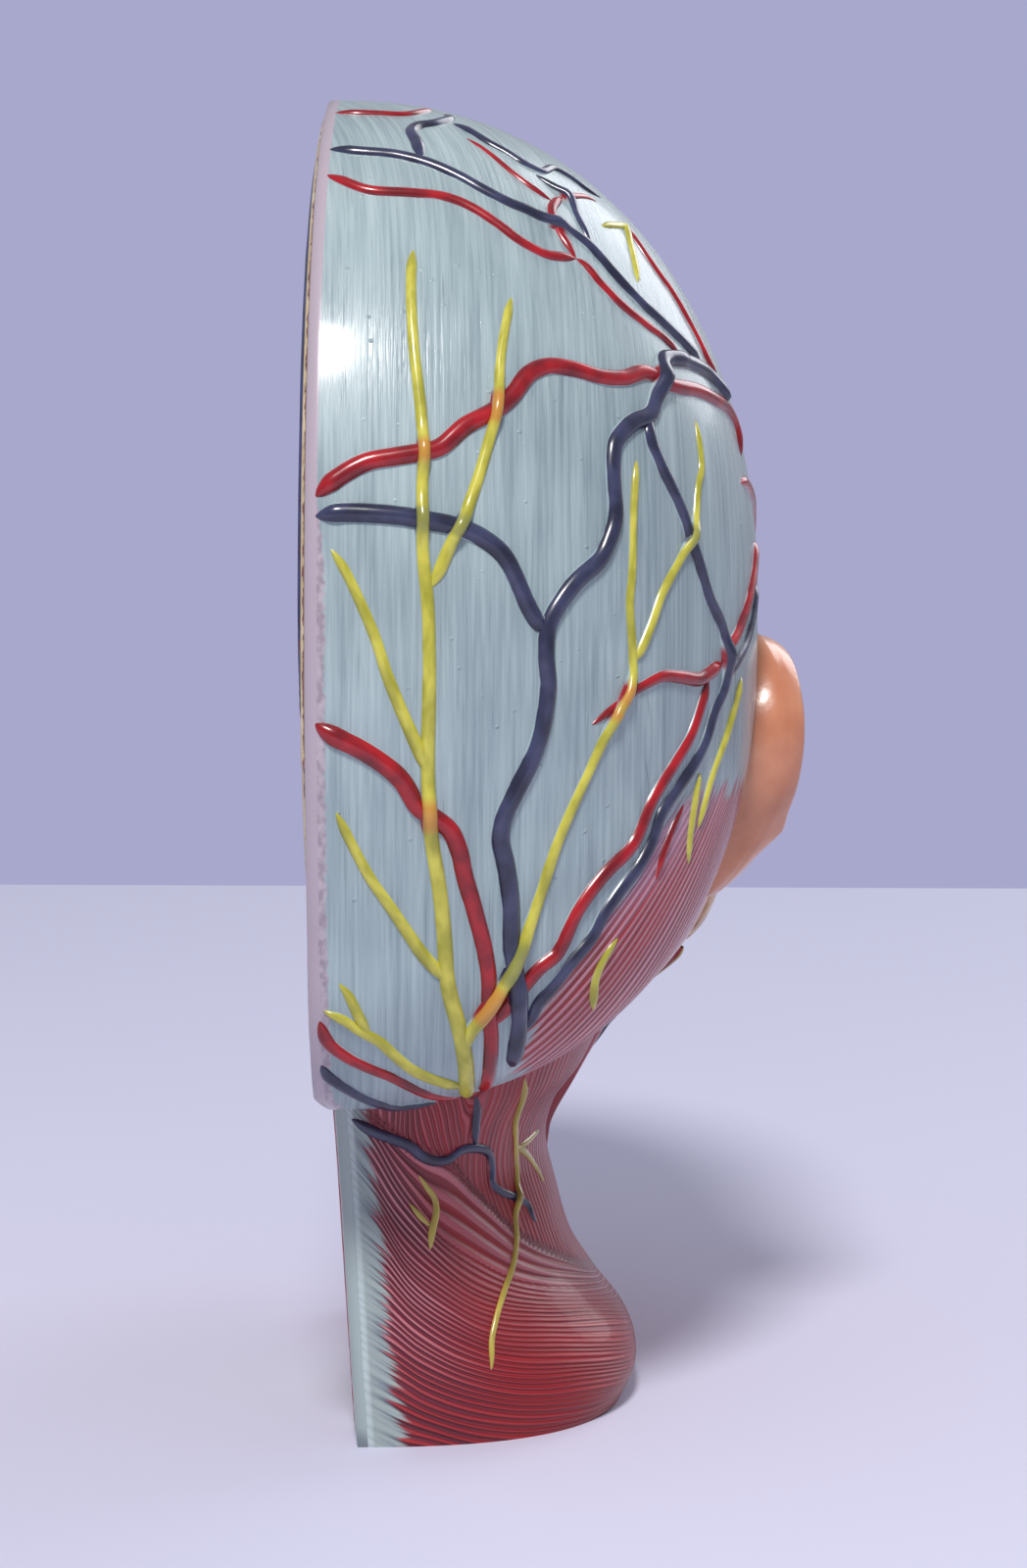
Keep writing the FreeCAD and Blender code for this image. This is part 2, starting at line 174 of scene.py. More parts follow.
def neck_skin(angle, z):
    """The neck's surface: the angle goes from the nape out to the side and on to the throat."""
    back, widest, front, width, behind, ahead = [between(NECK, z, i) for i in range(1, 7)]
    along, out = oval(angle, np.where(angle < 90, behind, ahead))
    y = np.where(angle < 90, widest - (widest - back) * along, widest - (front - widest) * along)
    return np.stack([width * out, y, np.broadcast_to(z, y.shape)], -1)


def cut_at(z):
    """How far the median cut stands off the middle at a height."""
    lean = STEP_BACK + NECK_LEAN * (1 - np.asarray(z, float) / SCALP_EDGE)
    return lean * np.clip((RAMP_TO - np.asarray(z, float)) / (RAMP_TO - RAMP_FROM), 0, 1)


def closest(points, line):
    """Distance from each point to a line of points, and how far along the line that is."""
    line = np.asarray(line, float)
    best = np.full(len(points), 1e9)
    along = np.zeros(len(points))
    done = 0.0
    for a, b in zip(line[:-1], line[1:]):
        way = b - a
        length = float(np.linalg.norm(way)) or 1e-9
        share = np.clip((points - a) @ way / length ** 2, 0, 1)
        far = np.linalg.norm(points - a - share[:, None] * way, axis=1)
        nearer = far < best
        best[nearer] = far[nearer]
        along[nearer] = done + share[nearer] * length
        done += length
    return best, along


def inside(points, outline):
    """Signed distance to a closed outline, above zero inside it."""
    outline = np.asarray(outline, float)
    far, _ = closest(points, np.vstack([outline, outline[:1]]))
    within = np.zeros(len(points), bool)
    for (ax, ay), (bx, by) in zip(outline, np.roll(outline, -1, 0)):
        crosses = (ay > points[:, 1]) != (by > points[:, 1])
        within ^= crosses & (points[:, 0] < (bx - ax) * (points[:, 1] - ay) / (by - ay + 1e-12) + ax)
    return np.where(within, far, -far)


def rounded(outline, per_side=8):
    """A closed outline with smooth points put between its corners."""
    outline = np.asarray(outline, float)
    n = len(outline)
    k = np.arange(n * per_side) // per_side
    s = ((np.arange(n * per_side) % per_side) / per_side)[:, None]
    p0, p1, p2, p3 = [outline[(k + i) % n] for i in (-1, 0, 1, 2)]
    return 0.5 * (2 * p1 + (p2 - p0) * s + (2 * p0 - 5 * p1 + 4 * p2 - p3) * s ** 2
                  + (3 * p1 - p0 - 3 * p2 + p3) * s ** 3)


def lengths(points):
    """How far along a line each of its points is."""
    return np.concatenate([[0], np.cumsum(np.linalg.norm(np.diff(points, axis=0), axis=1))])


def meet_cut(surface, short_of, past):
    """Where between two places a surface reaches the median cut."""
    for _ in range(HALVINGS):
        middle = (short_of + past) / 2
        point = surface(middle)
        short = point[..., 0] < cut_at(point[..., 2])
        short_of = np.where(short, middle, short_of)
        past = np.where(short, past, middle)
    return past


def ease(value, low, high):
    """A smooth step from none at low to one at high."""
    s = np.clip((value - low) / (high - low), 0, 1)
    return s * s * (3 - 2 * s)


# Meshes

def grid_faces(rows, columns, ring=False):
    """Faces of a grid of points, whose columns may close into a ring."""
    i, j = np.meshgrid(np.arange(rows - 1), np.arange(columns if ring else columns - 1), indexing="ij")
    i = i.ravel()
    j = j.ravel()
    k = (j + 1) % columns
    return np.stack([i * columns + j, i * columns + k, (i + 1) * columns + k, (i + 1) * columns + j], -1)


def facing(points, faces, away):
    """The faces turned so that most look away from a point."""
    a, b, c, d = [points[faces[:, i]] for i in range(4)]
    normal = np.cross(c - a, d - b)
    outward = np.sum(normal * ((a + c) / 2 - np.asarray(away, float)))
    return faces if outward > 0 else faces[:, ::-1]


def add_piece(name, points, faces, material, fields, replaced=()):
    """A piece of the model from points in millimetres, with a value of each field at each point."""
    mesh = bpy.data.meshes.new(name)
    mesh.from_pydata(((points + OFFSET) * MILLI).tolist(), [], [tuple(face) for face in faces])
    mesh.polygons.foreach_set("use_smooth", np.ones(len(faces), bool))
    for field, values in fields.items():
        values = np.asarray(values, np.float32)
        if values.ndim == 2:
            mesh.attributes.new(field, "FLOAT_VECTOR", "POINT").data.foreach_set("vector", values.ravel())
        else:
            mesh.attributes.new(field, "FLOAT", "POINT").data.foreach_set("value", values)
    mesh.materials.append(material)
    mesh.update()
    piece = bpy.data.objects.new(name, mesh)
    bpy.context.scene.collection.objects.link(piece)
    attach(piece, "root")
    if replaced:
        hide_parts(*replaced)
    return piece


# Materials

def tone(r, g, b):
    """A display colour of 0 to 255 as the linear values of a shader."""
    return tuple(((v / 255 + 0.055) / 1.055) ** 2.4 if v > 10 else v / 3294.6 for v in (r, g, b)) + (1.0,)


class Paint:
    """A material whose colour, relief and gloss come from nodes."""

    def __init__(self, name, roughness=0.3, coat=0.0):
        self.material = bpy.data.materials.new(name)
        self.material.use_nodes = True
        self.tree = self.material.node_tree
        self.shader = self.tree.nodes["Principled BSDF"]
        self.shader.inputs["Roughness"].default_value = roughness
        self.shader.inputs["Coat Weight"].default_value = coat
        self.shader.inputs["Coat Roughness"].default_value = 0.12

    def add(self, kind, inputs, output=0, **settings):
        node = self.tree.nodes.new(kind)
        for key, value in settings.items():
            setattr(node, key, value)
        for key, value in inputs.items():
            if isinstance(value, bpy.types.NodeSocket):
                self.tree.links.new(value, node.inputs[key])
            else:
                node.inputs[key].default_value = value
        return node.outputs[output]

    def field(self, name):
        return self.add("ShaderNodeAttribute", {}, "Fac", attribute_name=name)

    def place(self, name):
        return self.add("ShaderNodeAttribute", {}, "Vector", attribute_name=name)

    def body(self):
        return self.add("ShaderNodeTexCoord", {}, "Object")

    def scaled(self, vector, x, y, z):
        return self.add("ShaderNodeVectorMath", {0: vector, 1: (x, y, z)}, operation="MULTIPLY")

    def noise(self, vector, scale=1.0, detail=2.0, roughness=0.5):
        return self.add("ShaderNodeTexNoise", {"Vector": vector, "Scale": scale, "Detail": detail,
                                               "Roughness": roughness}, "Fac")

    def grain(self, vector, x, y, z, detail=2.0, roughness=0.5):
        """Noise with a scale of its own along each axis."""
        return self.noise(self.scaled(vector, x, y, z), 1.0, detail, roughness)

    def spots(self, vector, scale, reach):
        """Small round spots, one at full strength to none outside its reach."""
        far = self.add("ShaderNodeTexVoronoi", {"Vector": vector, "Scale": scale}, "Distance")
        return self.span(far, reach, 0.0)

    def math(self, operation, a, b=0.0, c=0.0):
        return self.add("ShaderNodeMath", {0: a, 1: b, 2: c}, operation=operation)

    def times(self, a, b):
        return self.math("MULTIPLY", a, b)

    def plus(self, a, b):
        return self.math("ADD", a, b)

    def span(self, value, low, high, to_low=0.0, to_high=1.0):
        return self.add("ShaderNodeMapRange", {"Value": value, "From Min": low, "From Max": high,
                                               "To Min": to_low, "To Max": to_high},
                        interpolation_type="SMOOTHSTEP")

    def mix(self, share, a, b):
        return self.add("ShaderNodeMix", {0: share, 6: a, 7: b}, 2, data_type="RGBA")

    def blend(self, value, low, high, a, b):
        """One colour where a value is low, turning into another where it is high."""
        return self.mix(self.span(value, low, high), a, b)

    def colour(self, value):
        self.tree.links.new(value, self.shader.inputs["Base Color"])

    def gloss(self, value):
        self.tree.links.new(value, self.shader.inputs["Roughness"])

    def relief(self, height, depth):
        """Height from 0 to 1 as a relief of that depth in millimetres."""
        bump = {"Height": height, "Distance": depth * MILLI, "Strength": 1.0}
        normal = self.add("ShaderNodeBump", bump, "Normal")
        self.tree.links.new(normal, self.shader.inputs["Normal"])


SCALP_DARK = tone(124, 142, 148)
SCALP_PALE = tone(172, 190, 191)
RED_DARK = tone(122, 14, 22)
RED = tone(158, 26, 34)
PINK = tone(206, 142, 152)


def scalp_tone(paint):
    """The pale blue-grey of the scalp with its fine upright strokes. Gives colour, relief and gloss."""
    stroke = paint.place("stroke")
    fine = paint.grain(stroke, 1.5, 0.035, 0, 3.0, 0.6)
    broad = paint.grain(stroke, 0.35, 0.02, 0)
    cloud = paint.grain(stroke, 0.03, 0.03, 0)
    share = paint.plus(paint.span(fine, 0.3, 0.7, 0.0, 0.45), paint.span(broad, 0.3, 0.7, 0.0, 0.3))
    share = paint.plus(share, paint.span(cloud, 0.3, 0.7, 0.0, 0.3))
    colour = paint.mix(share, SCALP_DARK, SCALP_PALE)
    dark_stroke = paint.grain(stroke, 2.2, 0.05, 4.0)
    colour = paint.mix(paint.span(dark_stroke, 0.66, 0.74, 0.0, 0.45), colour, tone(96, 112, 120))
    pimple = paint.spots(paint.scaled(stroke, 1, 1, 0), 0.22, 0.11)
    height = paint.plus(paint.times(fine, 0.5), paint.times(pimple, 0.5))
    return colour, height, paint.span(fine, 0.3, 0.7, 0.24, 0.4)


def muscle_tone(paint):
    """Red strands with pink streaks along the fibre field. Gives colour and relief."""
    fibre = paint.place("fibre")
    broad = paint.grain(fibre, 0.16, 0.012, 0)
    drift = paint.grain(fibre, 0.2, 0.015, 5.0, 1.0)
    across = paint.add("ShaderNodeSeparateXYZ", {0: fibre}, "X")
    phase = paint.plus(paint.times(across, 4.3), paint.times(drift, 9.0))
    strand = paint.span(paint.math("SINE", phase), -1.0, 1.0)
    thread = paint.grain(fibre, 1.1, 0.03, 3.0)
    colour = paint.blend(thread, 0.3, 0.7, RED_DARK, RED)
    colour = paint.mix(paint.times(strand, 0.4), colour, tone(176, 46, 54))
    # Pink on the strands where the field pale is high; on the neck that field also carries a painted
    # highlight and painted shade
    pale = paint.times(paint.span(strand, 0.25, 0.9), paint.field("pale"))
    pale = paint.times(pale, paint.span(broad, 0.3, 0.6, 0.45, 1.0))
    pale = paint.times(pale, paint.span(thread, 0.2, 0.5, 0.5, 1.0))
    colour = paint.mix(pale, colour, PINK)
    height = paint.plus(strand, paint.times(thread, 0.3))
    return colour, height


def flesh_tone(paint):
    """Skin-coloured lacquer as on the ear. Gives colour and relief."""
    blotch = paint.grain(paint.body(), 90, 90, 90, 3.0)
    pore = paint.grain(paint.body(), 900, 900, 900)
    colour = paint.blend(blotch, 0.3, 0.7, tone(194, 122, 88), tone(214, 146, 110))
    return colour, paint.plus(paint.times(blotch, 0.6), paint.times(pore, 0.2))


def head_paint():
    paint = Paint("head_lacquer", 0.3, 0.3)
    scalp, scalp_height, gloss = scalp_tone(paint)
    muscle, muscle_height = muscle_tone(paint)
    flesh, flesh_height = flesh_tone(paint)
    fibre = paint.place("fibre")
    ragged = paint.grain(fibre, 0.9, 0.05, 0)
    ragged = paint.span(ragged, 0.2, 0.8, -1.5, 3.5)
    fat = paint.mix(paint.grain(paint.body(), 220, 220, 220), tone(178, 92, 84), tone(212, 150, 118))
    face = paint.span(paint.plus(paint.field("face"), paint.times(ragged, 0.6)), -2.0, 2.0)
    grain = paint.grain(paint.body(), 900, 900, 700)
    bare = paint.plus(paint.field("edge"), paint.span(ragged, -1.5, 3.5, -0.25, 0.25))
    seam = paint.blend(grain, 0.3, 0.7, tone(150, 138, 148), tone(182, 170, 178))
    scalp = paint.blend(bare, 1.25, 1.6, seam, scalp)
    colour = paint.mix(face, scalp, fat)
    share = paint.span(paint.plus(paint.field("muscle"), ragged), -1.0, 1.5)
    muscle = paint.mix(paint.times(paint.field("lilac"), 0.75), muscle, tone(188, 150, 176))
    colour = paint.mix(share, colour, muscle)
    nose = paint.span(paint.field("nose"), -0.4, 0.4)
    colour = paint.mix(nose, colour, flesh)
    lips = paint.span(paint.field("lips"), -0.4, 0.4)
    lip_tone = paint.mix(paint.grain(paint.body(), 500, 120, 60), tone(158, 62, 58), tone(186, 88, 78))
    paint.colour(paint.mix(lips, colour, lip_tone))
    height = paint.mix(share, scalp_height, muscle_height)
    height = paint.mix(nose, height, flesh_height)
    paint.relief(height, 0.35)
    paint.gloss(gloss)
    return paint.material


def neck_paint():
    paint = Paint("neck_lacquer", 0.4, 0.15)
    muscle, height = muscle_tone(paint)
    fibre = paint.place("fibre")
    ragged = paint.grain(fibre, 1.0, 0.03, 0)
    edge = paint.plus(paint.field("band"), paint.span(ragged, 0.2, 0.8, -1.6, 1.6))
    share = paint.span(edge, -0.8, 0.8)
    ground = paint.mix(paint.grain(paint.body(), 60, 60, 12), tone(138, 152, 152), tone(168, 180, 176))
    brushed = paint.times(paint.span(paint.field("band"), -5.0, -0.5), paint.span(ragged, 0.42, 0.62))
    ground = paint.mix(paint.times(brushed, 0.75), ground, tone(96, 106, 122))
    ground = paint.blend(paint.field("off_cut"), 0.8, 1.6, tone(178, 192, 192), ground)
    plum = paint.times(paint.field("plum"), paint.span(height, 0.9, 0.3))
    muscle = paint.mix(plum, muscle, tone(74, 26, 48))
    muscle = paint.mix(paint.field("join"), muscle, tone(116, 20, 32))
    paint.colour(paint.mix(share, ground, muscle))
    apart = paint.math("SUBTRACT", 1.0, paint.field("join"))
    strong = paint.times(paint.span(edge, -2.0, 2.0, 0.15, 1.0), apart)
    paint.relief(paint.times(height, strong), 0.5)
    return paint.material


def cord_paint(name, dark, light, under=(), feet=(), aged=0.0):
    """Lacquer of a vessel or nerve, with the ground's colour on its foot."""
    paint = Paint(name, 0.25, 0.3)
    along = paint.place("along")
    blotch = paint.grain(along, 0.4, 0.16, 0)
    colour = paint.blend(blotch, 0.3, 0.7, dark, light)
    for field, tint in under:
        colour = paint.mix(paint.times(paint.field(field), 0.75), colour, tint)
    colour = paint.mix(paint.times(paint.field("on_muscle"), aged), colour, tone(168, 134, 74))
    foot = paint.plus(paint.field("off"), paint.span(blotch, 0.2, 0.8, -0.06, 0.06))
    ground = paint.mix(paint.field("on_muscle"), tone(158, 176, 180), RED)
    for field, tint in feet:
        ground = paint.mix(paint.field(field), ground, tint)
    paint.colour(paint.blend(foot, 0.98, 1.06, colour, ground))
    paint.relief(blotch, 0.12)
    return paint.material


# Head

TURNS = 480                # points of the head's mesh round its centre
OUTS = 150                 # and out from the median cut to the side
FRONT_FROM = 40            # regions drawn from the front hold ahead of this y
OFF_REGION = -50           # added to a region's distance where it doesn't hold

# Painted regions: on the back as (u, t), on the side as (y, z), on the front as (x, z)
OCCIPITAL = [
    (246, 26), (246, 64), (232, 68), (220, 62), (212.5, 54), (213.4, 49), (215.2, 45), (217.4, 40.5),
    (219, 37.5), (221.2, 34.6), (223.2, 31), (226, 28), (230, 26), (234, 26),
]
FACE = [
    (130, 156), (84, 156), (62, 152), (54, 142), (44, 128), (24, 122), (8, 120), (2, 104), (-3, 88),
    (-10, 72), (-16, 40), (30, 20), (130, 10),
]
FOREHEAD = [(3, 159), (20, 163), (40, 160), (46, 170), (40, 184), (26, 196), (10, 200), (3, 190)]
NOSE = [(-6, 136), (3, 134), (6, 124), (9, 113), (17, 108), (19, 99), (11, 95), (-6, 95)]
LIPS = [(-6, 88.5), (4, 88.8), (12, 87), (19, 83.5), (24, 80), (18, 75), (9, 71), (-6, 70)]
UNDER = [(-66, 40), (-62, 66), (-48, 84), (-30, 95), (-12, 98), (2, 90), (10, 76), (17, 62), (26, 40)]

EYE = np.array((31.0, 69.0, 139.0))
EYE_R = 12.0
EYE_GAP = 0.05             # between the ball and its socket
LID = 1.4                  # thickness of the lids
EYE_WIDTH = 24.0
LID_GAP = 9.0
LID_REACH = (19.0, 14.0)   # half axes of the lids' outer edge


def slanted(across, along, cosine, sine, apart=0.0):
    """Values across and along strands that lie at a slant, set apart from those of other muscles."""
    over = across * cosine + along * sine
    down = along * cosine - across * sine
    return np.stack([over, down, 0 * across + apart], -1)


def build_head():
    u = np.arange(TURNS) * 360.0 / TURNS
    share = np.linspace(0, 1, OUTS)[:, None]
    start = meet_cut(lambda t: skin(u, t), np.zeros_like(u), np.full_like(u, 30.0))[None, :]
    t = start + (90 - start) * share
    u = np.broadcast_to(u, t.shape)
    points = skin(u, t).reshape(-1, 3)
    flat_u = u.ravel()
    flat_t = t.ravel()
    x, y, z = points.T
    faces = facing(points, grid_faces(OUTS, TURNS, ring=True), CENTRE)
    # The scalp's strokes run with the rings at the back and upright at the side
    side = ease(x, 48, 68)
    across = x + 14 * np.logaddexp(0, (y + 40) / 15)
    stroke = np.stack([across, (1 - side) * flat_u * 1.66 + side * z, 0 * x], -1)
    from_side = np.stack([y, z], -1)
    from_front = np.stack([x, z], -1)
    ahead = np.where(y > FRONT_FROM, 0, OFF_REGION)
    occipital = inside(np.stack([flat_u, flat_t], -1), rounded(OCCIPITAL)) * 1.35
    forehead = inside(from_front, rounded(FOREHEAD)) + ahead
    under = np.minimum((flat_u - 236) * 1.2, (305 - flat_u) * 1.2)
    under = np.minimum(under, inside(from_side, rounded(UNDER)))
    # The fibres: on the face, at the back of the head, on the forehead and under the ear
    fibre = slanted(z, y, 0.86, 0.5, 40)
    behind = slanted((flat_u - 228) * 1.3, (flat_t - 28) * 1.45, 0.931, 0.364)
    fibre = np.where((occipital > -12)[:, None], behind, fibre)
    fibre = np.where((forehead > -8)[:, None], np.stack([x + 0.02 * z, z, 0 * x + 80], -1), fibre)
    fibre = np.where((under > 0)[:, None], slanted(y, z, 0.86, 0.5, 120), fibre)
    near = np.hypot((x - EYE[0]) / (0.52 * EYE_WIDTH), (z - EYE[2]) / (0.75 * LID_GAP))
    # The head sinks back behind the opening between the lids
    sunk = np.where(y > EYE[1], 1 - ease(near, 1.0, 1.3), 0)
    points[:, 1] -= sunk * np.maximum(y - EYE[1] - 4, 0)
    fields = {
        "stroke": stroke,
        "muscle": np.maximum(np.maximum(occipital, forehead), under),
        "fibre": fibre,
        "pale": np.where(occipital > -8, 1.0, 0.5),
        "face": inside(from_side, rounded(FACE)),
        "nose": inside(from_front, rounded(NOSE)) + ahead,
        "lips": inside(from_front, rounded(LIPS)) + ahead,
        "edge": x - cut_at(z) + 4 * ease(flat_u, 175, 150) * (flat_u < 180) + 9 * (flat_u > 250),
        "lilac": ease(flat_u, 222, 213) * (flat_u > 180),
    }
    add_piece("head", points, faces, head_paint(), fields, ("lateral_shell",))


# Neck

# Lines between the trapezius's strands and the edge of the pale band beside the cut, as (angle, z)
TRAPEZIUS = [
    [
        (0, 62), (10, 56), (21.2, 50.2), (32.1, 46.9), (41.1, 40.6), (50.6, 33.3), (63.3, 27.5),
        (87.7, 20.9), (120, 17),
    ],
    [
        (0, 60), (10.1, 52.6), (16.8, 45.7), (22, 40.7), (27.7, 35.2), (37, 29.7), (46.5, 25.3),
        (58.9, 22.2), (84.4, 18.4), (120, 14),
    ],
    [
        (0, 54), (10.5, 45.9), (17.4, 39.1), (25.6, 32.2), (34.7, 25.9), (43.9, 22.5), (60.1, 19.5),
        (94.3, 13.6), (120, 11),
    ],
    [
        (0, 48), (11.6, 40.3), (18.5, 32.1), (26.4, 26.6), (35.4, 21.3), (48.1, 18.7), (66.9, 16),
        (94, 11.2), (120, 9),
    ],
    [(0, 41), (12.5, 34.2), (19.2, 27.5), (26.2, 22.5), (33.3, 18.3), (48.1, 15.6), (79.6, 10.3), (120, 7)],
    [(0, 35), (13, 28.2), (18.8, 23), (25.9, 18), (33.7, 14.6), (48.2, 12.3), (77.6, 8.2), (120, 5)],
    [(0, 29), (12.8, 22.7), (17.9, 18.4), (25, 13.9), (34.5, 10.9), (49.9, 9.2), (71.6, 6.4), (120, 3)],
    [(0, 24), (12.2, 17.2), (17.4, 13.4), (24.8, 9.8), (34.7, 7.1), (49.1, 6), (65.5, 4.7), (120, 1)],
    [(0, 18), (11.9, 11.2), (17.6, 7.7), (25.5, 5), (36.5, 3.1), (51.1, 2.2), (62, 2), (120, -1)],
    [(0, 11), (12.9, 4.5), (19, 2.4), (27.6, 0), (37.5, -1.5), (49.5, -1.5), (120, -4)],
]
STRAND_STEP = 5.5          # breadth of one strand
DEGREE = 0.8               # millimetres to one degree round the neck
BAND = [
    (7.6, 56), (9.4, 50.7), (11.3, 43.1), (12.3, 35.6), (12.9, 27.3), (12.1, 18.1), (11.6, 9.7),
    (13.3, 1.6), (13.4, 0),
]


def build_neck():
    rows, columns = 130, 260
    z = np.linspace(0, NECK_TOP, rows)[:, None]
    share = np.linspace(0, 1, columns)[None, :]
    first = meet_cut(lambda angle: neck_skin(angle, z), np.zeros_like(z), np.full_like(z, 40.0))
    last = meet_cut(lambda angle: neck_skin(angle, z), np.full_like(z, 180.0), np.full_like(z, 140.0))
    angle = first + (last - first) * share
    z = np.broadcast_to(z, angle.shape)
    points = neck_skin(angle, z).reshape(-1, 3)
    a = angle.ravel()
    h = z.ravel()
    # Which strand of the trapezius a point lies on, counted down from the upper edge
    heights = np.stack([between(line, a) for line in TRAPEZIUS])
    below = np.sum(heights > h, axis=0)
    k = np.clip(below - 1, 0, len(TRAPEZIUS) - 2)
    upper = np.take_along_axis(heights, k[None], 0)[0]
    lower = np.take_along_axis(heights, k[None] + 1, 0)[0]
    f = k + (upper - h) / np.maximum(upper - lower, 0.5)
    trapezius = f * STRAND_STEP
    slant = ease(a, 37, 31) * ease(a, 14, 22)
    upright = a * DEGREE + (h - 50) * (0.15 + 0.5 * slant) + 200
    over = h > heights[0]
    band = (a - between([(z0, a0) for a0, z0 in BAND[::-1]], h)) * DEGREE
    across = np.where(over, upright, trapezius)
    fibre = np.stack([across, np.where(over, h, a * DEGREE), 0 * a], -1)
    # Pink streaks on the neck's muscle: real pale paint beside the pale band and near the cut at the top
    pale = np.where(over, 0.12 + 0.4 * ease(a, 26, 12) * ease(h, 48, 56), 0.12 + 0.7 * ease(band, 19, 5))
    # Painted highlight: the two strands under the trapezius's upper edge are made pale
    pale = np.where(~over & (f < 2), np.maximum(pale, 0.75 - 0.3 * f), pale)
    # Painted shade: the pink streaks fade out toward the base, leaving the lower neck darker red
    pale = pale * ease(h, 4, 26)
    base = len(points)
    points = np.vstack([points, points[:columns] * (1, 1, 0), [[20.0, -7.0, 0.0]]])
    faces = facing(points, grid_faces(rows, columns), (0, 0, 40)).tolist()
    faces += [(base + columns, base + i + 1, base + i) for i in range(columns - 1)]
    fields = {
        "fibre": fibre, "band": band, "pale": pale, "off_cut": points[:base, 0] - cut_at(h),
        "plum": ease(band, 20, 6) * np.where(over, 0.3, 0.65),
        "join": ease(np.abs(h - heights[0]), 1.3, 0.5),
    }
    on_base = len(points) - base
    fields = {name: np.concatenate([value, np.repeat(value[-1:], on_base, 0)])
              for name, value in fields.items()}
    add_piece("neck", points, faces, neck_paint(), fields)


# Vessels and nerves: width in millimetres at the start and the end, then the route

ARTERIES = {
    "R1": (2.4, 1.8, [(108, 0), (108, 4.2), (106.7, 9.2), (100.4, 12.6)]),
    "R2": (2.8, 2.6, [
        (124, 0), (124.8, 1.4), (126.5, 5.4), (126.2, 10.6), (125.8, 14.9), (126.3, 18), (127.9, 21.9),
        (129.4, 25.1), (129.7, 28.4), (127.5, 32.7),
    ]),
    "R3": (2.6, 2.2, [
        (127.5, 32.7), (126, 31.6), (123.6, 30), (120.5, 29.2), (117.4, 29.9), (115.4, 30.8),
    ]),
    "R3b": (2.2, 1.2, [
        (118.1, 29.2), (117.3, 26), (115.9, 23.6), (113.6, 21.1), (111.9, 19.1), (110.5, 17.2),
    ]),
    "R3c": (2.2, 1.2, [(115.4, 30.8), (112.8, 32.3), (109.2, 34.6), (107.9, 36.2)]),
    "R4": (2.6, 2.2, [
        (127.5, 32.7), (127.6, 34), (129.4, 36.6), (130.5, 40), (130.3, 44), (129.3, 47.2), (128.9, 50.6),
    ]),
    "R5": (2.0, 2.8, [
        (106.6, 40.7), (110.1, 43.8), (112, 46.5), (112.4, 49), (114.4, 52.7), (116.3, 56.2), (117.1, 58.5),
        (117.1, 60.5),
    ]),
    "R6": (4.0, 3.4, [
        (165, 0), (163.2, 2.2), (161.2, 5.8), (160.4, 9.3), (159.6, 13), (158.9, 15.1), (156.1, 18.1),
        (153.8, 21.7), (151.4, 24.1), (148.1, 26.3), (146.3, 28.8), (145.4, 32.1), (144.7, 36.5),
        (142.9, 40.1), (139.5, 43.8), (137.6, 48.7), (132.5, 54), (126.2, 59.3), (120.5, 62.5),
        (116.2, 66.3), (120.8, 69.1),
    ]),
    "R7": (4.2, 3.2, [
        (190, 0), (191.3, 2.2), (193, 5.9), (194.8, 8.7), (196.6, 10.6), (199.4, 12.4), (200.9, 14.5),
        (202.4, 16.4), (204.9, 17.6), (207.5, 18.2), (210.3, 19.1), (213.3, 20), (215.8, 20.7),
        (218.7, 21.2), (222.9, 21.2), (225.2, 21.4), (227.9, 21.3), (231.1, 20.9), (235, 20),
    ]),
    "R8": (3.6, 3.0, [
        (224.2, 21.8), (222.7, 23.4), (221.3, 25.4), (219.8, 28), (219.1, 30.4), (215.6, 33.4),
        (213.2, 37.4), (211.5, 42.3), (207.4, 45.6), (204.2, 49.8), (201.1, 53.6), (195.8, 56.4),
        (192.2, 57.8),
    ]),
    "R9": (1.6, 3.6, [
        (193.1, 35.5), (191.2, 39.4), (189.9, 42), (188.9, 45), (188.5, 47.7), (189.7, 51.5), (191.4, 55.6),
        (191, 58.6), (190.4, 61.4),
    ]),
    "R10": (3.4, 3.0, [(190.4, 61.4), (188, 63.3), (183.4, 67.6), (174.7, 71.7), (159, 75.6), (136.5, 78)]),
    "R11": (1.4, 2.6, [(211.9, 51.9), (214, 49.3), (216.4, 47.2), (218.7, 45.9)]),
    "R12": (3.0, 2.0, [
        (221, 0), (223.2, 0.9), (225, 3.2), (226.5, 5.9), (228.2, 8.9), (232.6, 13.7), (235.5, 17),
    ]),
}
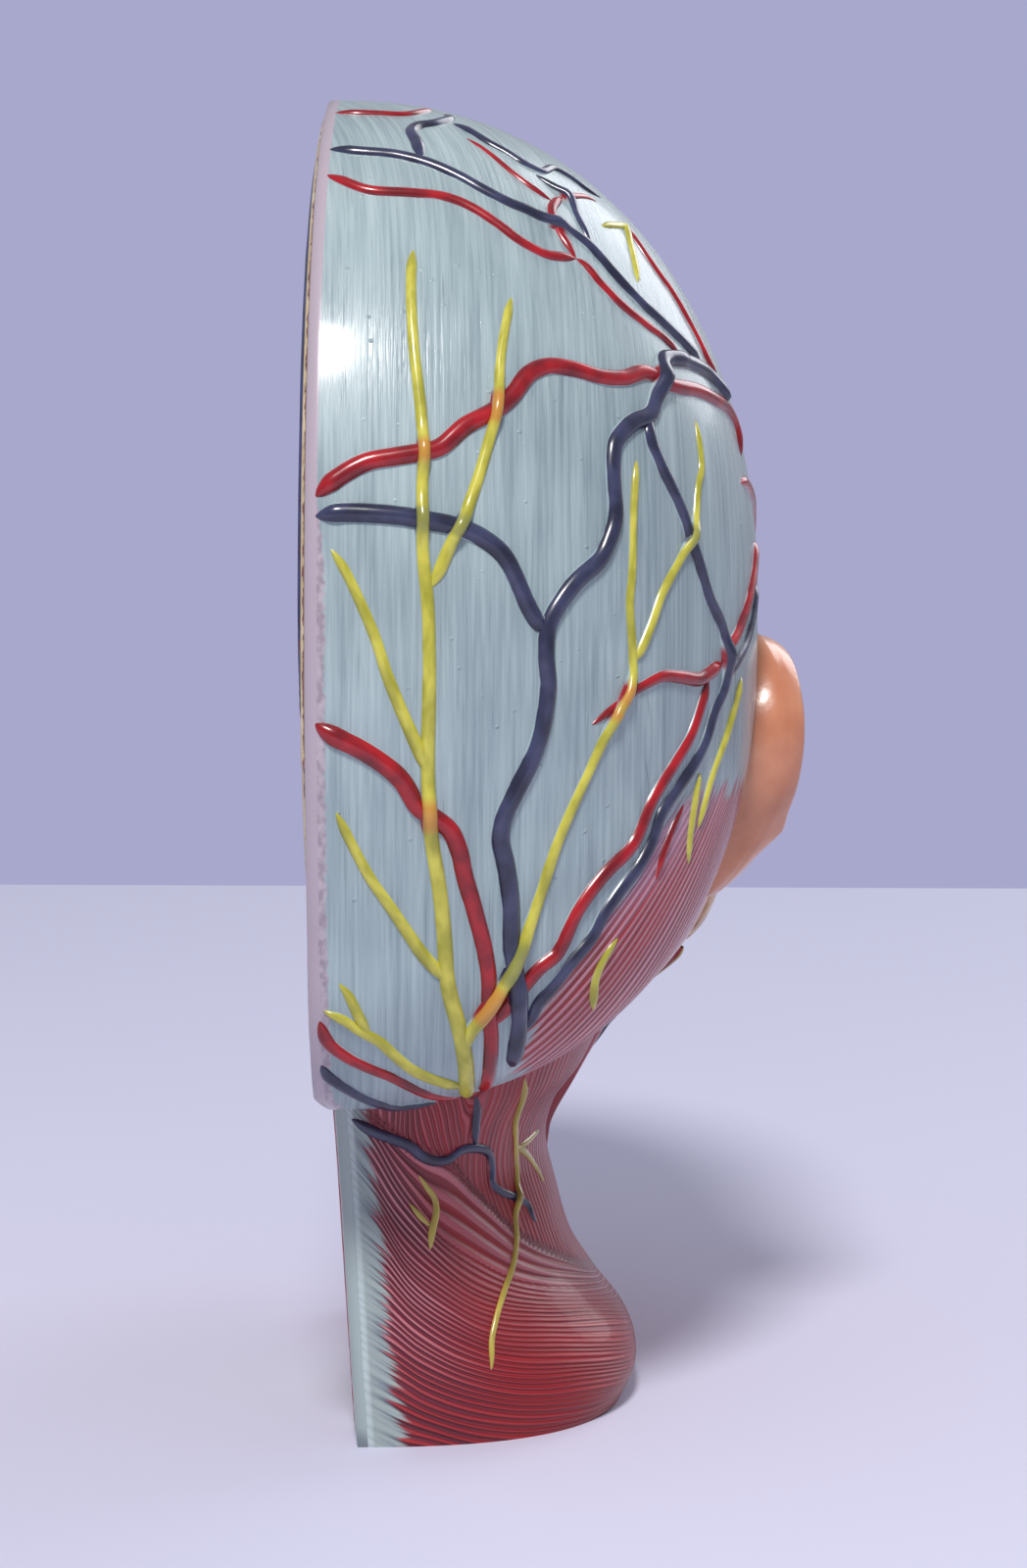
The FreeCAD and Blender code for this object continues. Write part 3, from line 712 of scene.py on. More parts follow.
VEINS = {
    "V1": (3.0, 3.2, [
        (118.8, 0), (119.2, 4.1), (119.2, 8.1), (119.6, 11.3), (120.1, 13.5), (121.2, 16.7), (122.4, 19.7),
        (123.2, 23), (123.1, 26.1), (123.3, 29.5), (122.8, 32.4), (123.3, 35), (125.2, 38.5), (126.5, 42.5),
        (126.1, 46.2), (125.3, 49.3), (124, 52.4), (122.6, 55.2),
    ]),
    "V2": (3.2, 2.2, [
        (118.8, 11.6), (115.8, 11.1), (112.8, 10.2), (110.6, 10.9), (108.2, 13.1), (103.8, 15),
        (101.9, 14.2),
    ]),
    "V3": (2.6, 1.8, [
        (106.2, 15.5), (107.9, 17.9), (109.7, 20.3), (110.6, 22.8), (111.6, 25.2), (111.1, 27.6),
        (106.9, 29.4), (106, 32), (106.1, 34.2), (103.6, 36.7),
    ]),
    "V4": (2.2, 2.4, [(113.2, 26.8), (114.4, 30.3), (115.2, 31.7), (118.5, 33.1), (122.3, 34.9)]),
    "V5": (3.8, 4.2, [
        (119.7, 62.2), (121, 58.3), (126.4, 53.7), (130.8, 49.8), (134.3, 47), (138.2, 46.6), (142.9, 45.5),
        (146.3, 44.5), (149.3, 41.5), (153.1, 38.9), (156.4, 38.4), (160.2, 38.6), (163.6, 38.9),
        (166.1, 38.5), (170.2, 36.7), (173.6, 33.1), (177.2, 30.3), (179.8, 29.1), (183.3, 28.9),
        (187, 29.2), (191.8, 28.5), (195.7, 27.1), (198.9, 25.2), (201.8, 23.4), (204.4, 22.9),
        (207.6, 23.6), (211, 24.1), (214.8, 24.2), (216.3, 24.2), (219.6, 24.6), (222.2, 24.7), (224.7, 25),
        (227.4, 24.7), (231.2, 24),
    ]),
    "V5b": (3.4, 3.2, [
        (146.3, 44.5), (149.7, 44.5), (152.9, 46.1), (156.2, 48.5), (160, 51), (164.1, 52.9), (168.1, 54.8),
        (174.6, 57.4), (181.3, 61.2), (189.2, 62.6), (196.5, 62.5), (200.2, 59.6), (204.6, 57.1),
        (207, 54.2), (208.7, 50.2), (210.4, 47.1), (213.2, 45.3), (215, 43.1), (216.2, 40.1), (217.9, 37.1),
        (219.6, 35.3), (221.2, 32), (222.7, 29.6), (223.8, 27.6), (225.7, 26.2), (226.1, 25),
    ]),
    "V6": (4.0, 3.8, [
        (167.2, 0), (166.8, 2.9), (166.8, 6.9), (167, 10.5), (167.3, 13), (167.6, 15.6), (168.1, 18.2),
        (169.1, 20.7), (170.8, 23.1), (173.2, 24.6), (176.5, 26.2), (179.1, 27.8), (180.2, 29.1),
    ]),
    "V7": (3.2, 2.6, [(194.5, 62.8), (193, 66.7), (188.4, 72.2), (178.3, 76), (161.1, 78.9)]),
    "V8": (3.0, 2.6, [(226, 0), (227.6, 0.9), (230, 3.6), (232.3, 6.3), (235, 9), (235, 11), (235, 14)]),
}
NERVES = {
    "N1": (3.6, 2.2, [
        (235, 18), (228.4, 18.1), (223.6, 17.4), (218.3, 16), (214.4, 15.7), (208.8, 15.1), (201.9, 13.9),
        (195.5, 13.7), (186, 13.9), (177.2, 13.7), (170.6, 13), (163.9, 12.9), (159.7, 13), (154.4, 12.6),
        (148.7, 11.8), (143.4, 11.3), (138.3, 11.1), (134.9, 11.3),
    ]),
    "N2": (2.9, 2.0, [
        (174.9, 14.1), (172.8, 15.2), (169.3, 16.7), (166.5, 18.2), (161.9, 19.9), (156.4, 21.4),
        (151.5, 22.2), (146.6, 22.6), (141.6, 23.3), (138.4, 23.9),
    ]),
    "N3": (2.0, 2.9, [
        (170.8, 1.9), (173.3, 3.7), (176.7, 5.5), (180.6, 7.3), (184.6, 8.7), (188.3, 10.3), (191.3, 11.7),
        (194.1, 13), (195.9, 13.6),
    ]),
    "N4": (2.0, 2.9, [
        (199.6, 2.4), (203.2, 4.4), (206.8, 6.6), (209.2, 8.5), (212, 10.6), (214.7, 12.6), (216.7, 14.5),
        (218.1, 15.7),
    ]),
    "N5": (2.2, 2.9, [
        (219.9, 0.5), (220.8, 2.8), (222.2, 5.1), (223.4, 7.3), (225.4, 9.4), (227.6, 11.7), (229.8, 14.6),
        (231.9, 17.5),
    ]),
    "N6": (2.0, 2.5, [(217.2, 2.5), (218.5, 3.7), (220.6, 4.9), (222.7, 6.2)]),
    "N7": (3.1, 2.0, [
        (226.6, 17.8), (224.2, 18.7), (222.8, 20), (221.3, 21.5), (219.5, 23.5), (217.1, 25.2), (215, 26.5),
        (211.7, 28.3), (206.4, 30.8), (202.1, 33.4), (197.7, 36.1), (193, 38.8), (190, 40.7), (187.1, 41.9),
        (185.3, 42), (181.6, 41.8), (176.7, 41.4), (172.2, 41.7), (165.4, 41.8), (159.9, 42), (154.6, 42.3),
    ]),
    "N8": (2.7, 1.9, [
        (185.3, 42), (183.7, 43.3), (179.5, 45.3), (175, 47), (167.4, 51.1), (160.9, 53.6), (152.5, 54.6),
        (148.6, 55.3), (142.7, 54.6), (139.6, 53.9),
    ]),
    "N9": (2.7, 2.2, [
        (199.9, 69.4), (204.4, 66.7), (208.8, 63.3), (212.2, 59.1), (215.7, 56.4), (218.4, 54.6),
    ]),
    "N10": (2.4, 1.9, [(209.5, 55.4), (215.1, 53.6), (218.9, 52.6), (221.9, 52.3)]),
    "N10b": (1.9, 2.5, [(221.8, 39.3), (223, 37.3), (224.9, 35.7), (229.1, 35.2)]),
    "N11": (1.9, 2.2, [(115.6, 36.7), (111.8, 38.6), (108.7, 40.5), (115, 41.7), (122.3, 42.6)]),
}
NECK_VEINS = {
    "V9": (2.6, 2.0, [
        (4.6, 55.9), (10.1, 53.6), (15, 52.2), (20.2, 50.6), (23.2, 48.9), (27.6, 47.5), (31.6, 47.5),
        (34.8, 48.7), (39.6, 48.5), (44.6, 47.1), (46.8, 44.4), (46.7, 41.5), (49.5, 39.7), (54.7, 37.9),
        (59, 36), (59.8, 33.9), (61.4, 32.6),
    ]),
    "V10": (2.4, 2.4, [(33.2, 58.4), (36.7, 53.6), (39.8, 48.6)]),
}
NECK_NERVES = {
    "N12": (2.2, 1.4, [
        (46.3, 60), (52.2, 51.6), (56.2, 46.7), (57.7, 42.2), (55.7, 38.5), (52.6, 35.1), (50.8, 31.5),
        (47.5, 27.9), (41.7, 24), (37.1, 20.7), (33.4, 17.2), (30.1, 12.3),
    ]),
    "N13": (2.2, 1.4, [(57.6, 46), (64.1, 43.6), (70, 40), (73.2, 37)]),
    "N14": (2.0, 1.4, [(58.6, 46), (63.1, 46.1), (67.5, 46.5), (71.5, 46.7)]),
    "N15": (1.2, 2.2, [(23.3, 45.5), (25.9, 43.1), (28, 40.9), (27.8, 38.5), (26.1, 35.9), (24.9, 32.8)]),
    "N16": (1.2, 1.8, [(20.6, 41), (23.4, 38.5), (26, 36.5)]),
}
CORD_STEP = 0.8            # between rings of a cord
GIRTH = 0.75               # breadth of a cord as a share of its given width
TIP_LENGTH = 3.0           # over which a cord grows to its width
CORD_RISE = 0.85           # height of a cord in half widths
FOOT_LEVEL = -0.35         # how far the flared feet lie below the surface, in half widths
CROSSING_LIFT = 0.36       # in widths of the cord that is crossed
APART = 40                 # keeps the marks of one cord apart from those of the next
ACROSS = np.array((-1.35, -1.2, -1.05, -0.9, -0.62, -0.32, 0.0, 0.32, 0.62, 0.9, 1.05, 1.2, 1.35))


def trace(route, surface):
    """Even steps along a route on a surface: the parameters and the points."""
    route = np.asarray(route, float)
    corners = surface(route[:, 0], route[:, 1])
    far = lengths(corners)
    table = np.column_stack([far, route])
    at = np.linspace(0, far[-1], max(8, int(far[-1] / CORD_STEP)))
    a = between(table, at, 1)
    b = between(table, at, 2)
    return a, b, surface(a, b), at


def normals(a, b, points, surface, middle):
    """Unit normals of a surface at places on it, away from a point inside."""
    normal = unit(np.cross(surface(a + 0.2, b) - points, surface(a, b + 0.2) - points))
    return normal * np.sign(np.sum(normal * (points - middle), axis=1, keepdims=True))


class Strips:
    """Grids of points gathered into one piece."""

    def __init__(self):
        self.points = []
        self.faces = []
        self.fields = {}
        self.count = 0

    def add(self, grid, middle, fields):
        rows, columns = grid.shape[:2]
        grid = grid.reshape(-1, 3)
        self.faces.append(facing(grid, grid_faces(rows, columns), middle) + self.count)
        self.points.append(grid)
        self.count += len(grid)
        for field, values in fields.items():
            self.fields.setdefault(field, []).append(values)

    def build(self, name, material):
        fields = {field: np.concatenate(values) for field, values in self.fields.items()}
        add_piece(name, np.vstack(self.points), np.vstack(self.faces), material, fields)


def crossings(points, at, crossed):
    """How far a cord is lifted where it crosses others, and how much it lies over each colour."""
    lift = np.zeros(len(at))
    over = {"over_red": np.zeros(len(at)), "over_blue": np.zeros(len(at))}
    for field, others in crossed:
        for line, width in others:
            far, _ = closest(points, line)
            slope = np.convolve(np.abs(np.gradient(far, at)), np.ones(5) / 5, "same")
            near = np.exp(-(far / (0.6 * width + 0.4)) ** 2) * ease(slope, 0.15, 0.5)
            lift = np.maximum(lift, CROSSING_LIFT * width * near)
            over[field] = np.maximum(over[field], ease(near, 0.5, 0.8))
    return lift, over


def build_cords(name, groups, material, crossed):
    """All the cords of one kind as raised lines with flared feet. Gives their middle lines."""
    strips = Strips()
    lines = []
    off = np.abs(ACROSS)
    for surface, middle, on_muscle, sink, routes in groups:
        for start, end, route in routes.values():
            a, b, points, at = trace(route, surface)
            normal = normals(a, b, points, surface, middle)
            side = np.cross(normal, unit(np.gradient(points, axis=0)))
            length = at[-1]
            radius = 0.5 * GIRTH * (start + (end - start) * at / length)
            radius = radius * np.sqrt(np.clip(np.minimum(at, length - at) / TIP_LENGTH, 0.02, 1))
            lift, over = crossings(points, at, crossed)
            # Round on top, nearly level beside it and turned down at the feet
            shape = np.where(off < 0.95, np.sqrt(np.clip(1 - (ACROSS / 1.02) ** 2, 0, 1)), 0.0)
            shape = np.where(off > 1.19, FOOT_LEVEL + min(sink, 0) * 1.2, shape)
            shape = np.where(np.abs(off - 1.05) < 0.01, 0.12, shape)
            high = shape[None, :] * radius[:, None] * CORD_RISE
            high = high + lift[:, None] * ease(1.2 - off, 0, 0.25)[None, :]
            ring = points[:, None] + side[:, None] * (ACROSS[None, :, None] * radius[:, None, None])
            ring = ring + normal[:, None] * (high - sink)[..., None]
            rows, columns = ring.shape[:2]
            along = np.repeat(at + APART * len(lines), columns)
            fields = {
                "off": np.tile(off, rows),
                "along": np.stack([np.tile(ACROSS, rows), along, 0 * along], -1),
                "on_muscle": np.full(len(along), float(on_muscle)),
            }
            fields.update({field: np.repeat(values, columns) for field, values in over.items()})
            strips.add(ring, middle, fields)
            lines.append((points[::3], max(start, end)))
    strips.build(name, material)
    return lines


# Routes on the face and temple, by points near the surface
TEMPLE_ARTERIES = {
    "temple": (3.6, 2.0, [
        (70, 12, 112), (71, 14, 124), (70, 19, 138), (67, 28, 152), (62, 38, 166), (52, 46, 182),
    ]),
    "temple_back": (3.0, 2.6, [
        (70.5, 15, 130), (72, 8, 144), (72, -6, 154), (72, -22, 160), (71, -38, 163),
    ]),
}
TEMPLE_VEINS = {
    "temple_vein": (3.4, 2.0, [
        (70, 8, 114), (72, 8, 128), (71, 10, 142), (68, 15, 156), (62, 24, 172), (54, 32, 186),
    ]),
}
FACE_ARTERIES = {
    "facial": (3.6, 2.0, [
        (30, 62, 53), (36, 64, 62), (34, 73, 72), (28, 84, 84), (20, 92, 98), (15, 92, 112), (14, 88, 130),
    ]),
    "lip": (2.2, 1.4, [(30, 82, 80), (24, 88, 91), (12, 98, 91), (3, 101, 91)]),
}
FACE_VEINS = {
    "facial_vein": (3.6, 2.0, [
        (31, 58, 54), (38, 62, 66), (40, 67, 78), (35, 78, 94), (25, 86, 110), (19, 86, 128),
    ]),
}
FACE_NERVES = {
    "to_temple": (3.0, 1.6, [(67, 18, 114), (64, 34, 134), (58, 48, 150), (50, 60, 164)]),
    "to_cheekbone": (3.0, 1.6, [(65, 24, 108), (58, 42, 122), (50, 58, 132)]),
    "to_cheek": (3.0, 1.6, [(62, 28, 98), (54, 52, 102), (42, 72, 100)]),
    "to_mouth": (2.8, 1.6, [(60, 28, 90), (52, 52, 88), (40, 70, 84)]),
    "to_jaw": (2.8, 1.6, [(50, 42, 78), (44, 54, 70), (37, 66, 61), (26, 82, 58)]),
    "above_eye": (2.8, 1.6, [(25, 88, 159), (25, 85, 172), (27, 77, 188), (30, 68, 200)]),
    "below_eye": (2.6, 1.4, [(29, 84, 122), (26, 88, 112), (24, 90, 103)]),
    "chin": (2.6, 1.4, [(22, 88, 62), (16, 94, 55), (10, 98, 52)]),
}


def on_head(near):
    """The place (u, t) on the head nearest to a point."""
    grid_u, grid_t = np.meshgrid(np.arange(0, 360, 3.0), np.arange(0, 86, 3.0), indexing="ij")
    at = skin(grid_u, grid_t)
    k = np.argmin(np.linalg.norm(at - near, axis=-1))
    place = np.array([grid_u.ravel()[k], grid_t.ravel()[k]])
    for _ in range(6):
        here = skin(place[0], place[1])
        ways = [skin(place[0] + 0.1, place[1]) - here, skin(place[0], place[1] + 0.1) - here]
        along = np.stack(ways, -1) / 0.1
        move = np.linalg.lstsq(along, np.asarray(near) - here, rcond=None)[0]
        place = place + np.clip(move, -3, 3)
    return place[0], max(place[1], 0.0)


def unwound(places):
    """The same places with no jump of a whole turn between them."""
    places = np.asarray(places, float)
    places[:, 0] = np.degrees(np.unwrap(np.radians(places[:, 0])))
    return places


def laid(routes):
    """The routes given by points, by their places on the head."""
    return {name: (start, end, unwound([on_head(point) for point in points]))
            for name, (start, end, points) in routes.items()}


# Each gives the surface, a point inside it, whether it is muscle, how deep the cords sink and the routes
def on_scalp(routes):
    return skin, CENTRE, 0, 0.1, routes


def on_neck(routes):
    return neck_skin, NECK_MIDDLE, 1, 0.1, routes


def on_face(routes, lift):
    return skin, CENTRE, 1, -lift, laid(routes)


def build_vessels():
    deep_red = tone(140, 16, 28)
    red = cord_paint("artery_lacquer", tone(112, 6, 18), tone(172, 18, 28))
    blue = cord_paint("vein_lacquer", tone(30, 32, 54), tone(58, 62, 92), (), (("over_red", deep_red),))
    yellow = cord_paint("nerve_lacquer", tone(160, 156, 48), tone(206, 198, 78),
                        (("over_red", tone(196, 122, 52)), ("over_blue", tone(128, 132, 70))),
                        (("over_red", deep_red), ("over_blue", tone(40, 42, 70))), 0.5)
    arteries = build_cords("arteries", [
        on_scalp(ARTERIES), on_scalp(laid(TEMPLE_ARTERIES)), on_face(FACE_ARTERIES, 1.6),
    ], red, [])
    veins = build_cords("veins", [
        on_scalp(VEINS), on_neck(NECK_VEINS), on_scalp(laid(TEMPLE_VEINS)), on_face(FACE_VEINS, 1.6),
    ], blue, [("over_red", arteries)])
    build_cords("nerves", [
        on_scalp(NERVES), on_neck(NECK_NERVES), on_face(FACE_NERVES, 2.0),
    ], yellow, [("over_red", arteries), ("over_blue", veins)])


# Muscles of the face and neck and the gland before the ear, by points near the surface with half widths

STRAPS = {
    "buccinator": (1.0, [(54, 40, 88, 7), (44, 64, 87, 8), (34, 78, 83, 7), (26, 88, 80, 4)]),
    "masseter": (1.6, [(58, 48, 110, 8), (56, 46, 99, 8), (52, 44, 89, 8), (48, 44, 80, 6)]),
    "orbicularis_oris": (1.8, [
        (0, 103, 92, 4), (10, 100, 91, 4.5), (20, 93, 87, 5), (28, 86, 80, 5), (21, 90, 72, 5),
        (10, 96, 67, 4.5), (0, 98, 66, 4),
    ]),
    "nasal": (1.2, [(18, 86, 98, 4), (12, 98, 110, 4), (4, 104, 119, 4), (0, 106, 121, 4)]),
    "lip_wing_lifter": (1.5, [(10, 92, 134, 2.5), (12, 92, 120, 3), (17, 92, 106, 3.5), (18, 94, 94, 3)]),
    "lip_lifter": (1.6, [(32, 82, 121, 7), (27, 86, 109, 5.5), (21, 92, 94, 4)]),
    "cheek_small": (1.9, [(46, 68, 117, 3), (35, 80, 104, 3), (25, 89, 92, 3)]),
    "cheek_great": (2.2, [(53, 60, 113, 4), (43, 72, 98, 4), (30, 84, 84, 3.5)]),
    "laughing": (1.6, [(54, 40, 78, 5), (42, 64, 80, 4), (29, 85, 80, 2.5)]),
    "lip_lowerer": (1.4, [(20, 88, 46, 7), (17, 92, 57, 6), (13, 97, 69, 4)]),
    "corner_lowerer": (1.8, [(31, 75, 47, 7), (31, 81, 60, 6), (28, 86, 77, 3)]),
    "chin": (1.8, [(6, 99, 60, 4), (7, 99, 54, 5), (8, 96, 46, 5)]),
    "eye_ring": (1.6, [
        (13, 88, 139, 3), (16, 90, 150, 5), (30, 88, 156, 5.5), (45, 78, 152, 6), (51, 70, 139, 6.5),
        (45, 74, 126, 6), (30, 84, 122, 5.5), (17, 89, 129, 5), (13, 88, 138, 3),
    ]),
    "brow_root": (1.4, [(3, 96, 134, 3), (3, 96, 146, 4), (4, 94, 158, 5)]),
}
GLAND = (1.5, [(66, 20, 113, 6), (64, 22, 103, 9), (60, 25, 92, 10), (54, 26, 81, 7)])
STRAP_ACROSS = np.linspace(-1, 1, 19)
STRAP_SINK = 0.35          # how deep the straps' edges lie below the surface


def strap_rings(height, places):
    """A band that follows the head's surface: its grid of points, its fibre and its other fields."""
    places = np.asarray(places, float)
    route = unwound([on_head(point[:3]) for point in places])
    corners = skin(route[:, 0], route[:, 1])
    far = lengths(corners)
    table = np.column_stack([far, route, places[:, 3]])
    at = np.linspace(0, far[-1], max(10, int(far[-1])))
    a, b, half = [between(table, at, i) for i in (1, 2, 3)]
    points = skin(a, b)
    normal = normals(a, b, points, skin, CENTRE)
    side = np.cross(normal, unit(np.gradient(points, axis=0)))
    # Steps of the surface's own measures that go straight across the band
    by_a = (skin(a + 0.2, b) - points) / 0.2
    by_b = (skin(a, b + 0.2) - points) / 0.2
    aa, ab, bb = [np.sum(p * q, 1) for p, q in ((by_a, by_a), (by_a, by_b), (by_b, by_b))]
    sa = np.sum(side * by_a, 1)
    sb = np.sum(side * by_b, 1)
    det = aa * bb - ab * ab
    step_a = (sa * bb - sb * ab) / det
    step_b = (sb * aa - sa * ab) / det
    # The band narrows and sinks to the surface at its ends
    tip = np.minimum(at, at[-1] - at)
    round_end = np.sqrt(np.clip(tip / 3.0, 0, 1))
    offset = STRAP_ACROSS[None, :] * (half * (0.4 + 0.6 * round_end))[:, None]
    ring = skin(a[:, None] + step_a[:, None] * offset, b[:, None] + step_b[:, None] * offset)
    bulge = np.sqrt(np.clip(1 - STRAP_ACROSS ** 2, 0, 1))[None, :]
    bulge = bulge * np.clip(tip / 5.0, 0, 1)[:, None] ** 0.5
    ring = ring + normal[:, None] * (height * bulge - STRAP_SINK)[..., None]
    rows, columns = ring.shape[:2]
    fibre = np.stack([
        np.tile(STRAP_ACROSS, rows) * places[:, 3].max(),
        np.repeat(at, columns),
        np.zeros(rows * columns),
    ], -1)
    ends = np.repeat(1 - ease(tip, 0, 0.35 * at[-1]), columns)
    return ring, fibre, {"pale": 0.45 + 0.55 * ends, "off": np.tile(np.abs(STRAP_ACROSS), rows)}


def build_straps(name, straps, material):
    strips = Strips()
    for k, (height, places) in enumerate(straps):
        ring, fibre, fields = strap_rings(height, places)
        strips.add(ring, CENTRE, {"fibre": fibre + (17.0 * k, 31.0 * k, 5.0 * k), **fields})
    strips.build(name, material)


def strap_paint():
    paint = Paint("muscle_lacquer", 0.3, 0.3)
    colour, height = muscle_tone(paint)
    paint.colour(paint.blend(paint.field("off"), 0.8, 1.0, colour, tone(70, 10, 18)))
    paint.relief(height, 0.5)
    return paint.material


def gland_paint():
    paint = Paint("gland_lacquer", 0.32, 0.3)
    place = paint.scaled(paint.place("fibre"), 0.3, 0.3, 0.3)
    lobes = {"Vector": place, "Scale": 1.0}
    lobes = paint.add("ShaderNodeTexVoronoi", lobes, "Distance", feature="SMOOTH_F1")
    paint.colour(paint.blend(lobes, 0.2, 0.7, tone(206, 160, 98), tone(150, 96, 56)))
    paint.relief(paint.math("SUBTRACT", 1.0, lobes), 1.2)
    return paint.material


SIDE_MUSCLE = [
    (60, -14, 95), (53.5, -8, 84), (45.5, 3, 72), (37, 15, 58), (30.5, 24, 46), (28, 30, 34),
    (24.5, 36, 20), (20, 40.5, 3),
]
THROAT_MUSCLE = [(10, 44, 46), (11, 44, 34), (12, 42.5, 20), (13, 41, 8), (13, 40.5, 0.5)]


def belly(name, route, half_width, half_depth, material):
    """A long muscle that stands free of the surface over part of its way."""
    route = np.asarray(route, float)
    far = lengths(route)
    table = np.column_stack([far, route])
    at = np.linspace(0, far[-1], 90)
    points = np.stack([between(table, at, i) for i in (1, 2, 3)], -1)
    tangent = unit(np.gradient(points, axis=0))
    outward = points - (0, NECK_MIDDLE[1], 0)
    outward[:, 2] = 0
    side = unit(np.cross(tangent, outward))
    out = np.cross(side, tangent)
    turn = np.linspace(0, 2 * np.pi, 49)[:-1]
    swell = 0.8 + 0.2 * np.sin(np.pi * at / far[-1])
    swell = swell[:, None, None]
    ring = points[:, None] + side[:, None] * (np.cos(turn)[None, :, None] * half_width * swell)
    ring = ring + out[:, None] * (np.sin(turn)[None, :, None] * half_depth * swell)
    rows, columns = ring.shape[:2]
    ring = ring.reshape(-1, 3)
    ring[:, 2] = np.maximum(ring[:, 2], 0)
    across = np.tile(np.cos(turn) * half_width, rows)
    fields = {
        "fibre": np.stack([across, np.repeat(at, columns), np.full(len(ring), 60.0)], -1),
        "pale": np.repeat(0.45 + 0.4 * (1 - ease(np.minimum(at, far[-1] - at), 0, 25)), columns),
        "off": np.zeros(len(ring)),
    }
    faces = grid_faces(rows, columns, ring=True)
    faces = facing(ring, faces, points[faces[:, 0] // columns])
    add_piece(name, ring, faces, material, fields)


def build_muscles():
    material = strap_paint()
    build_straps("face_muscles", STRAPS.values(), material)
    build_straps("cheek_gland", [GLAND], gland_paint())
    belly("side_neck_muscle", SIDE_MUSCLE, 10.0, 3.6, material)
    belly("throat_muscle", THROAT_MUSCLE, 5.0, 3.0, material)


# Eye

def almond(turn):
    """The opening between the lids round its middle."""
    return 0.5 * EYE_WIDTH * np.cos(turn), 0.5 * LID_GAP * np.sin(turn) * np.abs(np.sin(turn))


def skin_level(first, second, axis, turns, outs):
    """How far out the head's surface is along one axis, at places given by the other two."""
    grid_u, grid_t = np.meshgrid(np.arange(*turns, 1.0), np.arange(*outs, 1.0), indexing="ij")
    at = skin(grid_u, grid_t).reshape(-1, 3)
    others = np.delete(at, axis, axis=1)
    level = np.empty(np.size(first))
    for i, place in enumerate(np.column_stack([np.ravel(first), np.ravel(second)])):
        far = np.sum((others - place) ** 2, axis=1)
        near = np.argpartition(far, 5)[:5]
        weight = 1 / (far[near] + 1e-3)
        level[i] = np.sum(at[near, axis] * weight) / np.sum(weight)
    return level.reshape(np.shape(first))


def build_lids():
    turn = np.linspace(0, 2 * np.pi, 97)[:-1]
    inner_x, inner_z = almond(turn)
    out = np.array([0.0, 0.0, 0.02, 0.06, 0.12, 0.2, 0.3, 0.4, 0.5, 0.6, 0.7, 0.8, 0.9, 1.0])[:, None]
    x = inner_x * (1 - out) + LID_REACH[0] * np.cos(turn) * out
    z = inner_z * (1 - out) + LID_REACH[1] * np.sin(turn) * out
    radius = EYE_R + LID
    ball = EYE[1] + np.sqrt(np.clip(radius ** 2 - x ** 2 - z ** 2, 0, None))
    face = skin_level(x + EYE[0], z + EYE[2], 1, (-30, 31), (0, 57))
    blend = ease(out, 0.0, 0.3)
    y = ball * (1 - blend) + np.maximum(ball, face + 0.3) * blend
    crease = np.exp(-((z - 7.5 - 0.5 * (1 - (x / 14) ** 2)) / 0.9) ** 2) * (np.abs(x) < 15)
    y = y - 0.9 * crease
    y[0] = EYE[1] + np.sqrt(np.clip((EYE_R - 0.3) ** 2 - x[0] ** 2 - z[0] ** 2, 9, None))
    y[-1] = face[-1] - 0.8
    points = np.stack([x + EYE[0], y, z + EYE[2]], -1)
    rows, columns = points.shape[:2]
    points = points.reshape(-1, 3)
    faces = facing(points, grid_faces(rows, columns, ring=True), EYE)
    paint = Paint("lid_lacquer", 0.32, 0.3)
    colour, height = flesh_tone(paint)
    paint.colour(paint.blend(paint.field("edge"), 0.0, 0.05, tone(150, 62, 54), colour))
    paint.relief(height, 0.2)
    fields = {"edge": np.repeat(out.ravel(), columns)}
    add_piece("eyelids", points, faces, paint.material, fields)


def build_eye():
    rows, columns = 60, 72
    tilt = np.linspace(0, np.pi, rows)[:, None]
    turn = (np.arange(columns) * 2 * np.pi / columns)[None, :]
    radius = EYE_R - EYE_GAP
    reach = radius * np.sin(tilt)
    points = np.stack([reach * np.cos(turn), radius * np.cos(tilt) + 0 * turn, reach * np.sin(turn)], -1)
    points = points.reshape(-1, 3)
    faces = facing(points, grid_faces(rows, columns, ring=True), (0, 0, 0))
    gaze = np.broadcast_to(reach, (rows, columns)).ravel() + np.where(points[:, 1] < 0, 20, 0)
    none = 0 * tilt + 0 * turn
    spoke = np.stack([np.cos(turn) + none, np.sin(turn) + none, none], -1).reshape(-1, 3)
    paint = Paint("eye_lacquer", 0.1, 0.5)
    rays = paint.grain(paint.place("spoke"), 7, 7, 1, 3.0)
    veins = paint.grain(paint.body(), 260, 260, 260, 4.0)
    gaze_field = paint.field("gaze")
    white = paint.mix(paint.span(veins, 0.56, 0.7, 0, 0.5), tone(232, 226, 216), tone(206, 150, 138))
    iris = paint.blend(rays, 0.3, 0.7, tone(74, 48, 28), tone(134, 92, 52))
    iris = paint.blend(gaze_field, 4.6, 5.6, iris, tone(38, 26, 18))
    colour = paint.blend(gaze_field, 5.4, 5.9, iris, white)
    paint.colour(paint.blend(gaze_field, 2.1, 2.4, tone(8, 8, 9), colour))
    paint.relief(rays, 0.05)
    fields = {"gaze": gaze, "spoke": spoke}
    add_piece("eye", points + EYE, faces, paint.material, fields, ("eyeball",))


# Ear, drawn in its own plane as (y, z) from the ear canal

